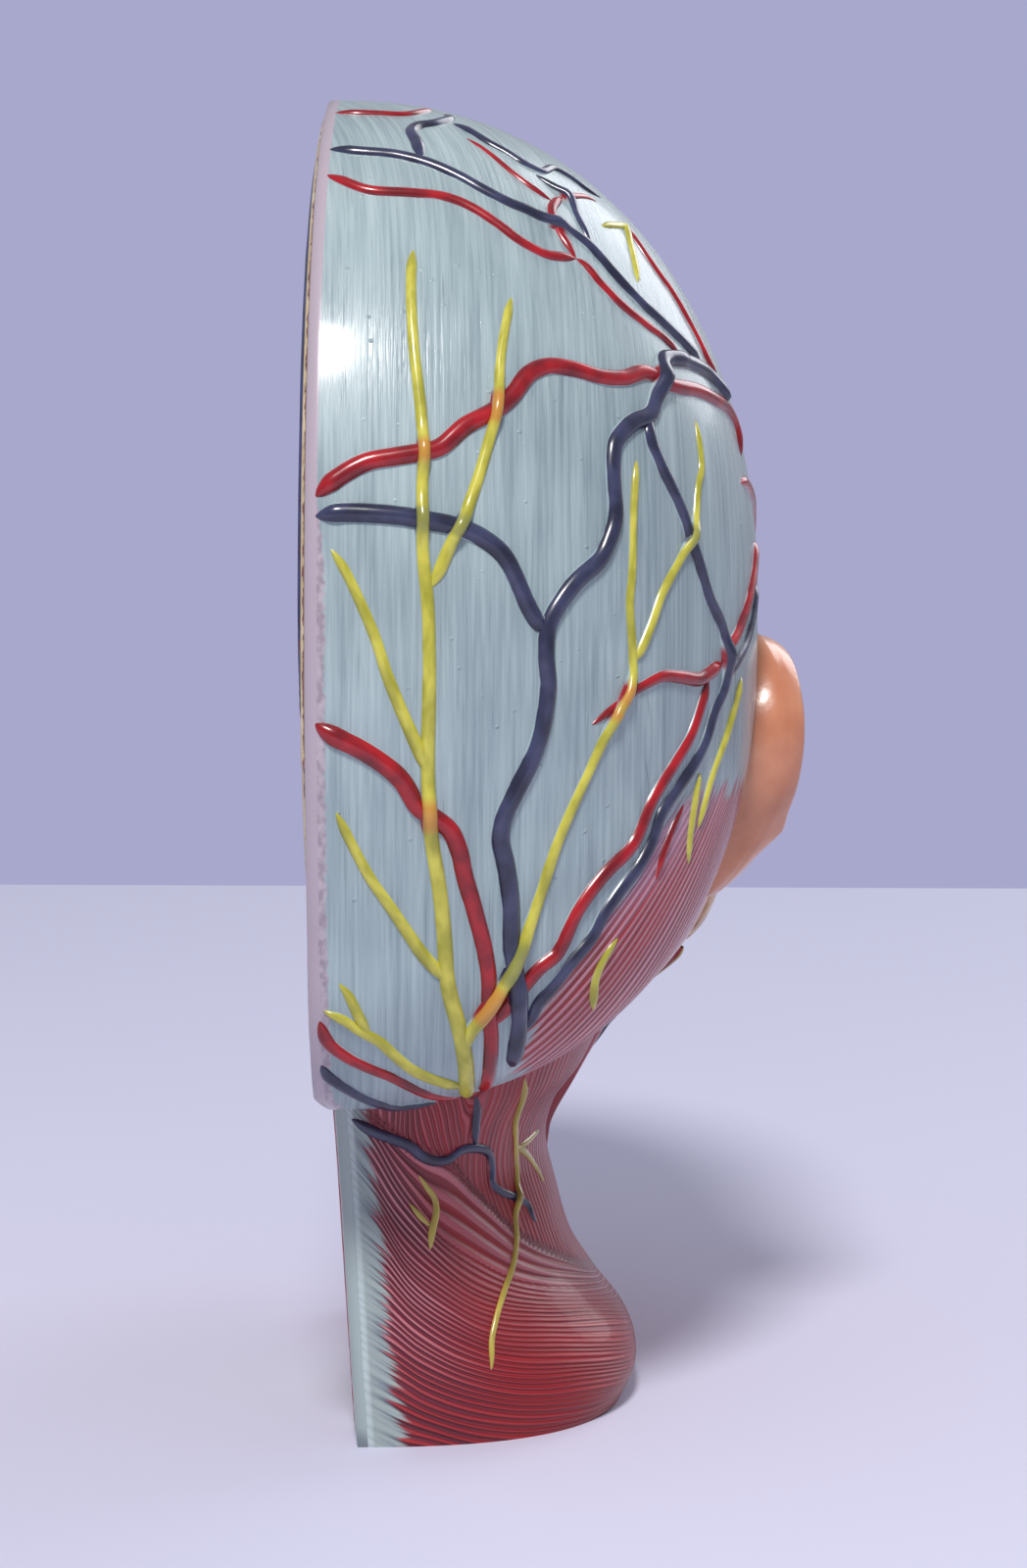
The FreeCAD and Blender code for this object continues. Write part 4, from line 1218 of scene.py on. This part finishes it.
EAR_HEIGHT = 48.0
EAR_RISE = 5.5             # how far the front stands out from the ear's own plane
EAR_TILT = 14.0            # degrees that the ear turns off the head
EAR_ROOT = np.array((70.0, 0.0, 108.0))
EAR_LIFT = 0.03 * EAR_HEIGHT
EAR_OUTLINE = [
    (0.1, 0.2), (0.1, 0.38), (0.0, 0.5), (-0.2, 0.53), (-0.4, 0.44), (-0.52, 0.24), (-0.5, 0.0),
    (-0.38, -0.2), (-0.26, -0.36), (-0.1, -0.46), (0.04, -0.42), (0.08, -0.26), (0.06, -0.04),
]
BOWL = [(2, 8), (-4, 10), (-10, 9), (-14, 3), (-13, -5), (-9, -10), (-3, -12), (1, -9), (0.5, 0)]
FOLD = [(-9, -12), (-14.5, -7), (-16.5, 1), (-15, 8), (-11, 13)]
FOLD_UPPER = [(-11, 13), (-9, 18), (-6, 21)]
FOLD_LOWER = [(-11, 13), (-6, 13.5), (-1, 12.5)]
RIM_ROOT = [(-7, 3), (-1, 5), (3, 10), (2, 16)]
# Rings behind the rim, down to the head: size and place out from the ear's plane
EAR_BACK = [
    (1.012, 1.9), (1.02, 1.2), (1.018, 0.4), (1.01, -0.5), (0.995, -1.6), (0.975, -2.8), (0.95, -4.2),
    (0.92, -5.8), (0.89, -7.6), (0.86, -10.0),
]


def build_ear():
    edge = rounded(EAR_OUTLINE, 16) * EAR_HEIGHT + (0, EAR_LIFT)
    middle = np.array((-0.2 * EAR_HEIGHT, 0.05 * EAR_HEIGHT))
    shares = np.concatenate([np.linspace(0.0, 0.9, 46), np.linspace(0.92, 1.0, 10)])
    flat_points = (middle + (edge - middle)[None] * shares[:, None, None]).reshape(-1, 2)
    deep = np.maximum(inside(flat_points, edge), 0)
    y, z = flat_points.T

    def ridge(line, reach):
        return np.exp(-(closest(flat_points, line)[0] / reach) ** 2)

    def knob(at_y, at_z, reach):
        return np.exp(-((y - at_y) ** 2 + (z - at_z) ** 2) / reach ** 2)

    # The rim with the groove behind it, the folds and the bowl, and the knobs before and below the canal
    rim = ease(z, -14, -6) * np.clip(1 - knob(5, 1, 7) * 1.2, 0, 1)
    out = EAR_RISE - 1.0 + 1.6 * np.exp(-((deep - 2.2) / 1.7) ** 2) * rim
    out = out - 2.0 * np.exp(-((deep - 6.0) / 1.9) ** 2) * rim
    fold = np.maximum(0.85 * ridge(FOLD_UPPER, 2.4), 0.85 * ridge(FOLD_LOWER, 1.8))
    fold = np.maximum(ridge(FOLD, 2.4), fold)
    out = out + 1.9 * fold - 5.0 * ease(inside(flat_points, rounded(BOWL)), -0.5, 3.5)
    out = out - 1.5 * knob(-5.5, 17, 3.4) + 3.0 * knob(3.2, -1.5, 3.0) + 1.8 * knob(-5.5, -13.5, 2.8)
    out = out + 1.6 * ridge(RIM_ROOT, 1.9) - 1.4 * knob(0.2, -9.5, 2.2)
    out = out - 2.4 * (1 - np.sqrt(np.clip(deep / 1.8, 0, 1)))
    front = np.stack([out, y, z], -1)
    back = []
    for size, level in EAR_BACK:
        loop = middle + (edge - middle) * size
        back.append(np.column_stack([np.full(len(loop), level), loop]))
    points = np.vstack([front] + back)
    # The lobe leans in, and the front stays clear of the head
    points[:, 0] -= 3.4 * np.logaddexp(0, -(points[:, 2] + 6) / 6)
    angle = math.radians(EAR_TILT)
    turned = np.stack([
        points[:, 0] * math.cos(angle) - points[:, 1] * math.sin(angle),
        points[:, 0] * math.sin(angle) + points[:, 1] * math.cos(angle),
        points[:, 2],
    ], -1) + EAR_ROOT
    ahead = slice(0, len(front))
    head_side = skin_level(turned[ahead, 1], turned[ahead, 2], 0, (190, 350), (40, 90))
    turned[ahead, 0] = np.maximum(turned[ahead, 0], head_side + 0.5)
    faces = grid_faces(len(shares) + len(EAR_BACK), len(edge), ring=True)
    faces = facing(turned, faces, (0, 0, EAR_ROOT[2]))
    paint = Paint("ear_lacquer", 0.3, 0.35)
    colour, height = flesh_tone(paint)
    # Painted shade: the ear is painted darker where it stands out least, in its bowl and in the groove
    # behind its rim
    shade = paint.span(paint.field("out"), -1.0, 3.0)
    colour = paint.mix(shade, tone(176, 92, 62), colour)
    # Painted shade: a dark spot round the ear canal stands in for the depth of an opening that the mesh
    # doesn't have
    paint.colour(paint.blend(paint.field("canal"), 3.4, 2.2, colour, tone(70, 24, 20)))
    paint.relief(height, 0.2)
    behind = len(turned) - len(out)
    fields = {
        "out": np.concatenate([out, np.full(behind, 4.0)]),
        "canal": np.concatenate([np.hypot(y + 1.0, z + 1.5), np.full(behind, 20.0)]),
    }
    add_piece("auricle", turned, faces, paint.material, fields, ("ear",))


# Median section: outlines as (y, z), bands as (width, end width, line)

BRAIN = [
    (78, 164), (72, 184), (56, 200), (31, 213), (0, 219), (-31, 216), (-57, 205), (-76, 185), (-86, 160),
    (-87, 140), (-79, 130), (-60, 137), (-42, 142), (-24, 147), (-8, 150), (6, 146), (16, 138), (26, 143),
    (46, 147), (66, 150),
]
CEREBELLUM = [
    (-20, 138), (-40, 136.5), (-60, 132), (-77, 124), (-76, 108), (-60, 97), (-40, 94), (-24, 102),
    (-18, 114), (-20, 126),
]
STEM = [
    (4, 148), (11, 136), (16, 124), (12, 112), (4, 102), (-3, 90), (-17, 90), (-16, 104), (-14, 118),
    (-17, 132), (-15, 144), (-6, 151),
]
CALLOSUM = (7, 7, [(30, 158), (38, 168), (24, 177), (2, 181), (-20, 177), (-33, 166), (-28, 158)])
FORNIX = (3, 2.5, [(-24, 166), (-8, 168), (8, 166), (14, 158), (12, 151)])
THALAMUS = [(10, 152), (12, 160), (2, 166), (-12, 164), (-18, 156), (-8, 152)]
CORD = (9, 8, [(-9, 96), (-13, 80), (-17, 62), (-20, 42), (-21, 20), (-21, -4)])
SINUS = (4, 4, [
    (72, 187), (57, 199), (36, 211.5), (12, 218.7), (-12, 221.0), (-37, 217.6), (-58.5, 206.7),
    (-75.5, 189), (-85, 165), (-88, 140), (-84, 127),
])
CAVE = (3.5, 3.5, [(-84, 128), (-64, 134.5), (-42, 139.5), (-24, 144)])
FURROWS = [
    [(60, 162), (52, 182), (30, 195), (2, 200), (-22, 194), (-36, 184)],
    [(40, 155), (46, 168), (30, 184), (2, 187), (-24, 183), (-40, 168), (-36, 154)],
    [(-56, 205), (-50, 184), (-56, 166), (-46, 154)],
    [(-86, 150), (-68, 154), (-52, 156), (-40, 152)],
    [(-16, 219), (-14, 204)],
    [(20, 216), (22, 204), (14, 198)],
]
TONGUE = [
    (82, 78), (77, 87), (62, 91.5), (42, 87), (29, 75), (25, 60), (34, 50), (50, 49), (68, 52), (77, 66),
]
JAW = [(87, 70), (91, 58), (89, 46), (82, 41), (77, 46), (79, 58), (82, 70)]
HARD_PALATE = (5, 3.5, [(89, 92), (82, 95.5), (66, 96.5), (48, 95.5)])
SOFT_PALATE = (5, 6, [(49, 94.5), (38, 92), (28, 86), (21, 77)])
SHELVES = [
    (6, 4, [(80, 106), (64, 103.5), (44, 104), (33, 106)]),
    (6.5, 4, [(77, 117), (62, 114), (46, 115), (36, 118)]),
    (5, 4, [(68, 128), (56, 126), (46, 128)]),
]
NASAL_CAVITY = [
    (99, 103), (95, 112), (88, 124), (78, 132), (62, 134), (52, 133), (51, 118), (40, 109), (26, 104),
    (22, 92), (32, 95), (48, 98.5), (66, 99.5), (84, 98.5), (94, 99),
]
THROAT = (9, 8, [(22, 100), (18, 88), (14, 74), (14, 60), (17, 48), (22, 42)])
MOUTH = (4, 5, [(91, 81), (80, 90), (62, 94.5), (44, 91.5), (30, 82), (19, 66)])
EPIGLOTTIS = (5, 2, [(31, 46), (26, 56), (20, 67)])
WINDPIPE = (12, 14, [(28, 52), (29, 40), (29, 22), (29, -4)])
GULLET = (6, 6, [(17, 44), (16, 30), (15, 14), (14, -4)])
SHIELD = [(40, 47), (44, 38), (41, 28), (37.5, 29), (38.5, 38), (36, 46)]
RING_FRONT = [(40, 23), (40, 18), (36.5, 18), (36.5, 23)]
RING_BACK = [(24, 32), (24, 17), (19.5, 18), (20.5, 30)]
TONGUE_BONE = [(37, 53), (41, 50.5), (38, 47.5), (34.5, 49)]
FOREHEAD_BONE = [
    (91.5, 138), (91, 152), (87, 168), (82, 176), (79, 166), (77, 152), (73, 144), (76, 139), (86, 134),
]
NOSE_BONE = (4.5, 2.5, [(88, 137), (92, 128), (97, 119)])
BROW_CAVE = [(87.5, 144), (87.5, 156), (84, 166), (82, 156), (80, 147)]
SIEVE = (3.5, 3.5, [(78, 139), (64, 137.5), (50, 138.5)])
WEDGE_BONE = [
    (52, 141), (40, 139), (31, 135), (25, 138), (21, 143), (18.5, 138), (19.5, 127), (16, 112), (8, 101),
    (0, 92), (4, 89), (12, 96), (22, 103), (38, 107), (51, 111), (54, 126),
]
WEDGE_CAVE = [(48.5, 134), (36, 131), (29, 127), (28, 117), (37, 112.5), (48, 116)]
GLAND_BELOW_BRAIN = [(34, 140), (30, 142), (26.5, 140), (28, 136.5), (32, 136.5)]
NAPE_BONE = (6.5, 5, [(-90, 136), (-87.5, 116), (-80, 101), (-66, 92.5), (-50, 89.5), (-39, 90)])
VAULT_FROM = -2.0          # degrees over which the skull's vault runs, from the face round to the nape
VAULT_TO = 196.0
DENS = (8, 7, [(-1, 66), (0, 78), (2, 88)])
FIRST_ARCHES = [[(9, 80), (12.5, 84), (9.5, 89), (6.5, 85)], [(-33, 78), (-30, 83), (-34, 88), (-39, 83)]]
NAPE_MUSCLE = [
    (-71, 66), (-80, 76), (-82, 92), (-66, 88), (-50, 86), (-38, 82), (-27, 72), (-29, 50), (-30, 20),
    (-30, -3), (-52, -3), (-53, 30), (-52.5, 52), (-58, 62),
]
CHIN_MUSCLE = [(80, 42), (76, 50), (60, 49), (44, 48), (38, 46), (44, 41), (60, 38.5), (74, 37.5)]
THROAT_STRAP = (3.5, 3, [(41, 46), (42.5, 34), (41.5, 18), (41, -3)])
UPPER_LIP = [(93, 97), (97, 94), (100.5, 88), (98, 84), (94, 85), (93, 92)]
LOWER_LIP = [(94, 79.5), (98.5, 77.5), (96.5, 69), (92.5, 68), (92, 76)]
UPPER_TOOTH = [(86, 96), (90, 95), (92.5, 83), (90.5, 82), (87, 87)]
LOWER_TOOTH = [(83, 69), (86.5, 69), (91, 79), (90, 81), (86.5, 79)]
ARCH = [
    (34, 158), (34, 168), (20, 174), (2, 177), (-18, 174), (-29, 166), (-26, 158), (-14, 154), (0, 152),
    (16, 150),
]
# Branches of the white matter in the cerebellum: angle and reach
TREE = [(62, 17), (92, 18), (122, 22), (150, 27), (180, 30), (212, 26), (244, 20), (280, 15)]
TREE_ROOT = np.array((-22.0, 118.0))
TREE_MIDDLE = np.array((-44.0, 116.0))
TONGUE_FAN = (70, 46)      # where the strands of the tongue spread from
SKIN_DEPTH = 1.8           # from the outline to the skull, and on to its inner side
SKULL_DEPTH = 5.6
BODIES = 5                 # bodies of the neck's vertebrae, counted down
BODY_TOP = 66              # middle height of the uppermost
BODY_DEPTH = 17.0
BODY_HEIGHT = 12.0
DISC = 3.5                 # height of a disc
# Two tones of each tissue
PLATE_TONES = {
    "fat": ((234, 206, 160), (222, 184, 138)),
    "skin": ((222, 176, 156), (206, 156, 136)),
    "cavity": ((150, 62, 66), (120, 40, 50)),
    "bone": ((226, 208, 164), (206, 182, 132)),
    "cartilage": ((182, 202, 214), (150, 176, 196)),
    "mucosa": ((214, 118, 116), (186, 78, 84)),
    "muscle": ((150, 32, 42), (92, 14, 22)),
    "grey": ((226, 184, 170), (204, 150, 140)),
    "white": ((240, 230, 208), (226, 212, 186)),
    "blue": ((52, 58, 110), (30, 32, 72)),
    "nerve": ((232, 216, 150), (210, 192, 116)),
    "enamel": ((240, 236, 224), (226, 220, 204)),
}
# Height of each tissue's relief, the uppermost tissue last
LEVELS = {
    "skin": 0.0, "muscle": 0.5, "cavity": -0.9, "mucosa": 0.7, "bone": 0.7, "cartilage": 0.8, "enamel": 0.9,
    "grey": 1.2, "nerve": 1.2, "white": 1.3, "blue": 1.4,
}


def band_depth(points, band):
    """Signed distance to a band along a smooth line, above zero inside it."""
    width, end_width, line = band
    line = np.asarray(line, float)
    far = lengths(line)
    table = np.column_stack([far, line])
    at = np.linspace(0, far[-1], 6 * len(line))
    smooth = np.stack([between(table, at, 1), between(table, at, 2)], -1)
    away, along = closest(points, smooth)
    return 0.5 * (width + (end_width - width) * along / far[-1]) - away


def smooth_depth(points, outline):
    """Signed distance to a smooth closed outline, above zero inside it."""
    return inside(points, rounded(outline))


def box_depth(points, y, z, depth, height, corner=1.5):
    """Signed distance to a box with round corners, above zero inside it."""
    over = np.abs(points - (y, z)) - (depth / 2 - corner, height / 2 - corner)
    return corner - np.linalg.norm(np.maximum(over, 0), axis=1) - np.minimum(over.max(axis=1), 0)


def folds(points, wave, seed):
    """A smooth field whose zero lines wind evenly like the folds of a brain."""
    size = 256
    step = 200.0 / size
    ripple = np.hypot(*np.meshgrid(np.fft.fftfreq(size, step), np.fft.fftfreq(size, step), indexing="ij"))
    ring = np.exp(-((ripple - 1 / wave) / (0.16 / wave)) ** 2)
    grid = np.random.default_rng(seed).standard_normal((size, size))
    for _ in range(12):
        grid = np.fft.ifft2(np.fft.fft2(grid) * ring).real
        grid = np.tanh(2.5 * grid / grid.std())
    at = (points - (-100, 80)) / step
    i, j = [np.clip(np.floor(at[:, k]).astype(int), 0, size - 2) for k in (0, 1)]
    a, b = at[:, 0] - i, at[:, 1] - j
    return ((grid[i, j] * (1 - a) + grid[i + 1, j] * a) * (1 - b)
            + (grid[i, j + 1] * (1 - a) + grid[i + 1, j + 1] * a) * b)


def plate_layers(points, deep, turn):
    """Signed distance to each kind of tissue on the cut face but the white matter."""
    def most(depths):
        return np.max(np.stack(depths), axis=0)

    def shapes(*outlines):
        return [smooth_depth(points, outline) for outline in outlines]

    def bands(*lines):
        return [band_depth(points, line) for line in lines]

    swing = (turn + 90) % 360 - 90
    vault = np.minimum(deep - SKIN_DEPTH, SKULL_DEPTH - deep)
    vault = np.minimum(vault, np.minimum(swing - VAULT_FROM, VAULT_TO - swing))
    bodies = []
    discs = []
    for i in range(BODIES):
        z = BODY_TOP - i * (BODY_HEIGHT + DISC)
        y = -1 - 0.06 * (BODY_TOP - z)
        bodies.append(box_depth(points, y, z, BODY_DEPTH, BODY_HEIGHT))
        process = (y - 2.1 * BODY_DEPTH, z - 3, 0.9 * BODY_DEPTH, 0.6 * BODY_HEIGHT, 3.0)
        bodies.append(box_depth(points, *process))
        discs.append(box_depth(points, y, z - 0.5 * (BODY_HEIGHT + DISC), BODY_DEPTH - 1, DISC - 0.4, 1.0))
    rings = [box_depth(points, 37, z, 3.2, 3.0, 1.4) for z in np.arange(12.5, -2, -5.0)]
    caves = shapes(BROW_CAVE, WEDGE_CAVE)
    bones = [vault] + bodies + shapes(FOREHEAD_BONE, WEDGE_BONE, JAW, TONGUE_BONE, *FIRST_ARCHES)
    bones += bands(HARD_PALATE, NOSE_BONE, SIEVE, NAPE_BONE, DENS)
    return {
        "skin": SKIN_DEPTH - deep,
        "muscle": most(shapes(NAPE_MUSCLE, CHIN_MUSCLE, TONGUE, UPPER_LIP, LOWER_LIP)
                       + bands(THROAT_STRAP)),
        "cavity": most(shapes(NASAL_CAVITY) + bands(THROAT, MOUTH) + caves),
        "mucosa": most(bands(SOFT_PALATE, WINDPIPE, GULLET, *SHELVES)),
        "bone": np.minimum(most(bones), -most(caves)),
        "cartilage": most(discs + rings + shapes(SHIELD, RING_FRONT, RING_BACK) + bands(EPIGLOTTIS)),
        "enamel": most(shapes(UPPER_TOOTH, LOWER_TOOTH)),
        "grey": most(shapes(BRAIN, CEREBELLUM, STEM, GLAND_BELOW_BRAIN)),
        "nerve": band_depth(points, CORD),
        "blue": most(bands(SINUS, CAVE)),
    }


def tree(points):
    """The branching white matter in the cerebellum."""
    depths = [band_depth(points, (5, 7, [TREE_ROOT, (-33, 117), TREE_MIDDLE]))]
    for angle, reach in TREE:
        way = np.array((math.cos(np.radians(angle)), math.sin(np.radians(angle))))
        turned = np.array((-way[1], way[0]))
        branch = [TREE_MIDDLE, TREE_MIDDLE + way * reach * 0.5, TREE_MIDDLE + way * reach]
        depths.append(band_depth(points, (3.2, 1.0, branch)))
        for share in (0.45, 0.65, 0.85):
            at = TREE_MIDDLE + way * reach * share
            for side in (-1, 1):
                twig = [at, at + (way * 0.8 + turned * side) * reach * 0.2]
                depths.append(band_depth(points, (1.6, 0.7, twig)))
    return np.max(np.stack(depths), axis=0)


def section_outline(u):
    """The outer line of the cut face as seen from the head's centre."""
    head = skin(u, 0 * u)[..., 1:]
    out = np.stack([np.cos(np.radians(u)), np.sin(np.radians(u))], -1)
    centre = CENTRE[1:]
    reach = np.linspace(60, 165, 1400)[None, :]
    at = centre + out[:, None] * reach[..., None]
    y = at[..., 0]
    z = at[..., 1]
    level = np.clip(z, 0, NECK_TOP)
    back, front = between(NECK, level, 1), between(NECK, level, 3)
    within = (z >= 0) & (z <= NECK_TOP) & (y >= back) & (y <= front)
    farthest = np.where(within, reach, 0).max(axis=1)
    return np.where((farthest > np.linalg.norm(head - centre, axis=1))[:, None],
                    centre + out * farthest[:, None], head)


def build_section():
    columns = 720
    u = np.arange(columns) * 360.0 / columns
    # The corners of the base get points of their own
    for corner in ((-58, 0), (44, 0)):
        turn = polar(corner)[0]
        u[np.argmin(np.abs(u - turn))] = turn - 0.02 if corner[0] > 0 else turn + 0.02
    edge = section_outline(u)
    edge[:, 1] = np.where(edge[:, 1] < 0.3, 0.0, edge[:, 1])
    centre = CENTRE[1:]
    share = np.concatenate([np.linspace(0.004, 0.9, 104), np.linspace(0.905, 1.0, 18)])
    flat = (centre + (edge - centre)[None] * share[:, None, None]).reshape(-1, 2)
    deep = closest(flat, np.vstack([edge[::2], edge[:1]]))[0]
    turn = np.degrees(np.arctan2(flat[:, 1] - centre[1], flat[:, 0] - centre[0])) % 360
    layers = plate_layers(flat, deep, turn)
    brain = smooth_depth(flat, BRAIN)
    cerebellum = smooth_depth(flat, CEREBELLUM)
    # The brain's furrows, with the plain wall inside the arch
    fold = np.abs(folds(flat, 19.0, 5))
    ditch = 1 - ease(fold, 0.05, 0.55)
    for line in FURROWS:
        ditch = np.maximum(ditch, 1 - ease(-band_depth(flat, (0, 0, line)), 0.5, 2.2))
    callosum = band_depth(flat, CALLOSUM)
    ditch = ditch * ease(brain, 0.0, 2.0) * ease(-callosum, 0.0, 1.5)
    inner = np.maximum(smooth_depth(flat, THALAMUS), 0)
    within_arch = ease(smooth_depth(flat, ARCH), 0, 1.5)
    ditch = ditch * (1 - within_arch)
    # The cerebellum's leaves round its tree
    branches = tree(flat)
    leaf_y, leaf_z = (flat - TREE_MIDDLE).T
    spin = np.arctan2(leaf_z, leaf_y)
    folia = 0.5 + 0.5 * np.cos(np.hypot(leaf_y, leaf_z) * 1.9 + 5 * np.sin(spin * 8))
    folia = folia * ease(cerebellum, 0.2, 1.0) * ease(-branches, 0.2, 1.5)
    white = [callosum, band_depth(flat, FORNIX), np.minimum(branches, cerebellum - 0.8)]
    layers["white"] = np.max(np.stack(white), axis=0)
    # The relief of the tissues, which runs out at the rim
    height = np.zeros(len(flat))
    for name, level in LEVELS.items():
        share_in = ease(layers[name], -0.3, 1.0)
        height = height * (1 - share_in) + level * share_in
    height = height - 1.1 * ditch - 0.5 * folia + 0.3 * ease(inner, 0, 2)
    height = height - 0.5 * within_arch * ease(-callosum, 0, 1)
    height = height * ease(deep, 0.0, 1.6) - 0.2 * (1 - ease(deep, 0.0, 0.8))
    x = cut_at(flat[:, 1]) - PLATE - height
    rim = np.column_stack([cut_at(edge[:, 1]) + 0.2, edge])
    points = np.vstack([np.column_stack([x, flat]), rim])
    faces = grid_faces(len(share) + 1, columns, ring=True)
    faces = facing(points, faces, (60, centre[0], centre[1]))
    fan_y, fan_z = (flat - TONGUE_FAN).T
    fan = np.arctan2(fan_z, fan_y)
    fibre = np.stack([flat[:, 0] - 0.25 * flat[:, 1], flat[:, 1], 0 * fan], -1)
    tongue = smooth_depth(flat, TONGUE) > -1
    fibre = np.where(tongue[:, None], np.stack([fan * 26, np.hypot(fan_y, fan_z), 0 * fan + 9], -1), fibre)
    fields = {name: layers[name] for name in LEVELS}
    fields.update({
        "ditch": ditch, "folia": folia, "fibre": fibre, "pale": np.where(tongue, 0.7, 0.25), "edge": deep,
        "level": flat[:, 1],
    })
    fields = {name: np.concatenate([value, value[-columns:]]) for name, value in fields.items()}
    add_piece("section", points, faces, section_paint(), fields, ("median_plate",))


def section_paint():
    paint = Paint("section_lacquer", 0.28, 0.3)
    cloud = paint.grain(paint.body(), 160, 160, 160, 3.0)
    shade = paint.span(cloud, 0.35, 0.65)
    wobble = paint.span(paint.grain(paint.body(), 500, 500, 500), 0.2, 0.8, -0.35, 0.35)
    spongy = paint.spots(paint.scaled(paint.body(), 700, 700, 700), 1.0, 0.45)
    muscle, strands = muscle_tone(paint)
    colour = paint.mix(shade, tone(*PLATE_TONES["fat"][0]), tone(*PLATE_TONES["fat"][1]))
    for name in LEVELS:
        light, dark = [tone(*value) for value in PLATE_TONES[name]]
        inner = muscle if name == "muscle" else paint.mix(shade, light, dark)
        field = paint.field(name)
        if name == "bone":
            inner = paint.mix(paint.times(paint.times(spongy, 0.8), paint.span(field, 0.5, 1.0)),
                              inner, tone(176, 96, 66))
        if name == "grey":
            inner = paint.mix(paint.field("ditch"), inner, tone(150, 66, 68))
            inner = paint.mix(paint.times(paint.field("folia"), 0.8), inner, tone(166, 92, 70))
        depth = paint.plus(field, wobble)
        line = light if name == "skin" else tone(112, 52, 46)
        colour = paint.blend(depth, -0.5, 0.0, colour, line)
        colour = paint.blend(depth, 0.0, 0.45, colour, inner)
    rim = paint.blend(paint.field("level"), 58, 63, tone(158, 172, 170), tone(176, 162, 172))
    paint.colour(paint.blend(paint.field("edge"), 1.1, 0.6, colour, rim))
    height = paint.plus(paint.times(strands, paint.span(paint.field("muscle"), -0.2, 0.5)),
                        paint.times(cloud, 0.3))
    paint.relief(height, 0.3)
    return paint.material


# Stage

def build_stage():
    """A plain pale floor, whose far edge is the horizon."""
    mesh = bpy.data.meshes.new("floor")
    mesh.from_pydata([(-3, -3, 0), (3, -3, 0), (3, 0.72, 0), (-3, 0.68, 0)], [], [(0, 1, 2, 3)])
    paint = Paint("floor", 0.7)
    grain = paint.grain(paint.body(), 3, 3, 3)
    paint.colour(paint.mix(grain, tone(206, 206, 228), tone(212, 212, 232)))
    mesh.materials.append(paint.material)
    floor = bpy.data.objects.new("floor", mesh)
    bpy.context.scene.collection.objects.link(floor)


# Lamps: place, size, power and colour
LAMPS = {
    "key": ((-0.12, -1.25, 1.65), 0.4, 34, (1.0, 0.98, 0.96)),
    "front_fill": ((1.2, 1.6, 1.2), 1.4, 14, (0.95, 0.96, 1.0)),
}
LAMP_TARGET = Vector((0, 0, 0.12))
ROOM_LIGHT = (0.78, 0.80, 0.95, 1)
ROOM_STRENGTH = 0.42
WALL = tone(168, 168, 204)


def add_lamp(name, place, size, power, colour):
    """A round lamp that looks at the model's middle."""
    lamp = bpy.data.lights.new(name, "AREA")
    lamp.shape = "DISK"
    lamp.size = size
    lamp.energy = power
    lamp.color = colour
    thing = bpy.data.objects.new(name, lamp)
    thing.location = place
    thing.rotation_euler = (LAMP_TARGET - Vector(place)).to_track_quat("-Z", "Y").to_euler()
    bpy.context.scene.collection.objects.link(thing)


def build_light():
    """Two lamps, and a room whose wall the camera sees in a tone of its own."""
    for name, values in LAMPS.items():
        add_lamp(name, *values)
    world = bpy.data.worlds.new("room")
    world.use_nodes = True
    tree = world.node_tree
    light = tree.nodes["Background"]
    light.inputs["Color"].default_value = ROOM_LIGHT
    light.inputs["Strength"].default_value = ROOM_STRENGTH
    wall = tree.nodes.new("ShaderNodeBackground")
    wall.inputs["Color"].default_value = WALL
    path = tree.nodes.new("ShaderNodeLightPath")
    choice = tree.nodes.new("ShaderNodeMixShader")
    tree.links.new(path.outputs["Is Camera Ray"], choice.inputs[0])
    tree.links.new(light.outputs[0], choice.inputs[1])
    tree.links.new(wall.outputs[0], choice.inputs[2])
    tree.links.new(choice.outputs[0], tree.nodes["World Output"].inputs["Surface"])
    bpy.context.scene.world = world


CAMERA_PLACE = (0.008, -0.633, 0.170)
CAMERA_TURN = (-0.55, -5.6, 0.2)    # yaw, pitch and roll in degrees
SENSOR = 36
LENS = 3594 / 1600 * SENSOR         # distance of the picture plane over the picture's height


def build_camera():
    yaw, pitch, roll = [math.radians(v) for v in CAMERA_TURN]
    forward = Vector((math.sin(yaw) * math.cos(pitch), math.cos(yaw) * math.cos(pitch), math.sin(pitch)))
    right = Vector((math.cos(yaw), -math.sin(yaw), 0))
    up = right.cross(forward)
    turned_right = right * math.cos(roll) + up * math.sin(roll)
    turned_up = up * math.cos(roll) - right * math.sin(roll)
    lens = bpy.data.cameras.new("camera")
    lens.sensor_fit = "VERTICAL"
    lens.sensor_height = SENSOR
    lens.lens = LENS
    lens.clip_end = 50
    eye = bpy.data.objects.new("camera", lens)
    turn = Matrix((turned_right, turned_up, -forward)).transposed()
    eye.matrix_world = Matrix.Translation(CAMERA_PLACE) @ turn.to_4x4()
    bpy.context.scene.collection.objects.link(eye)
    bpy.context.scene.camera = eye


build_camera()
build_light()
build_stage()
build_head()
build_neck()
build_vessels()
build_muscles()
build_lids()
build_eye()
build_ear()
build_section()
bpy.context.scene.view_settings.view_transform = "Standard"
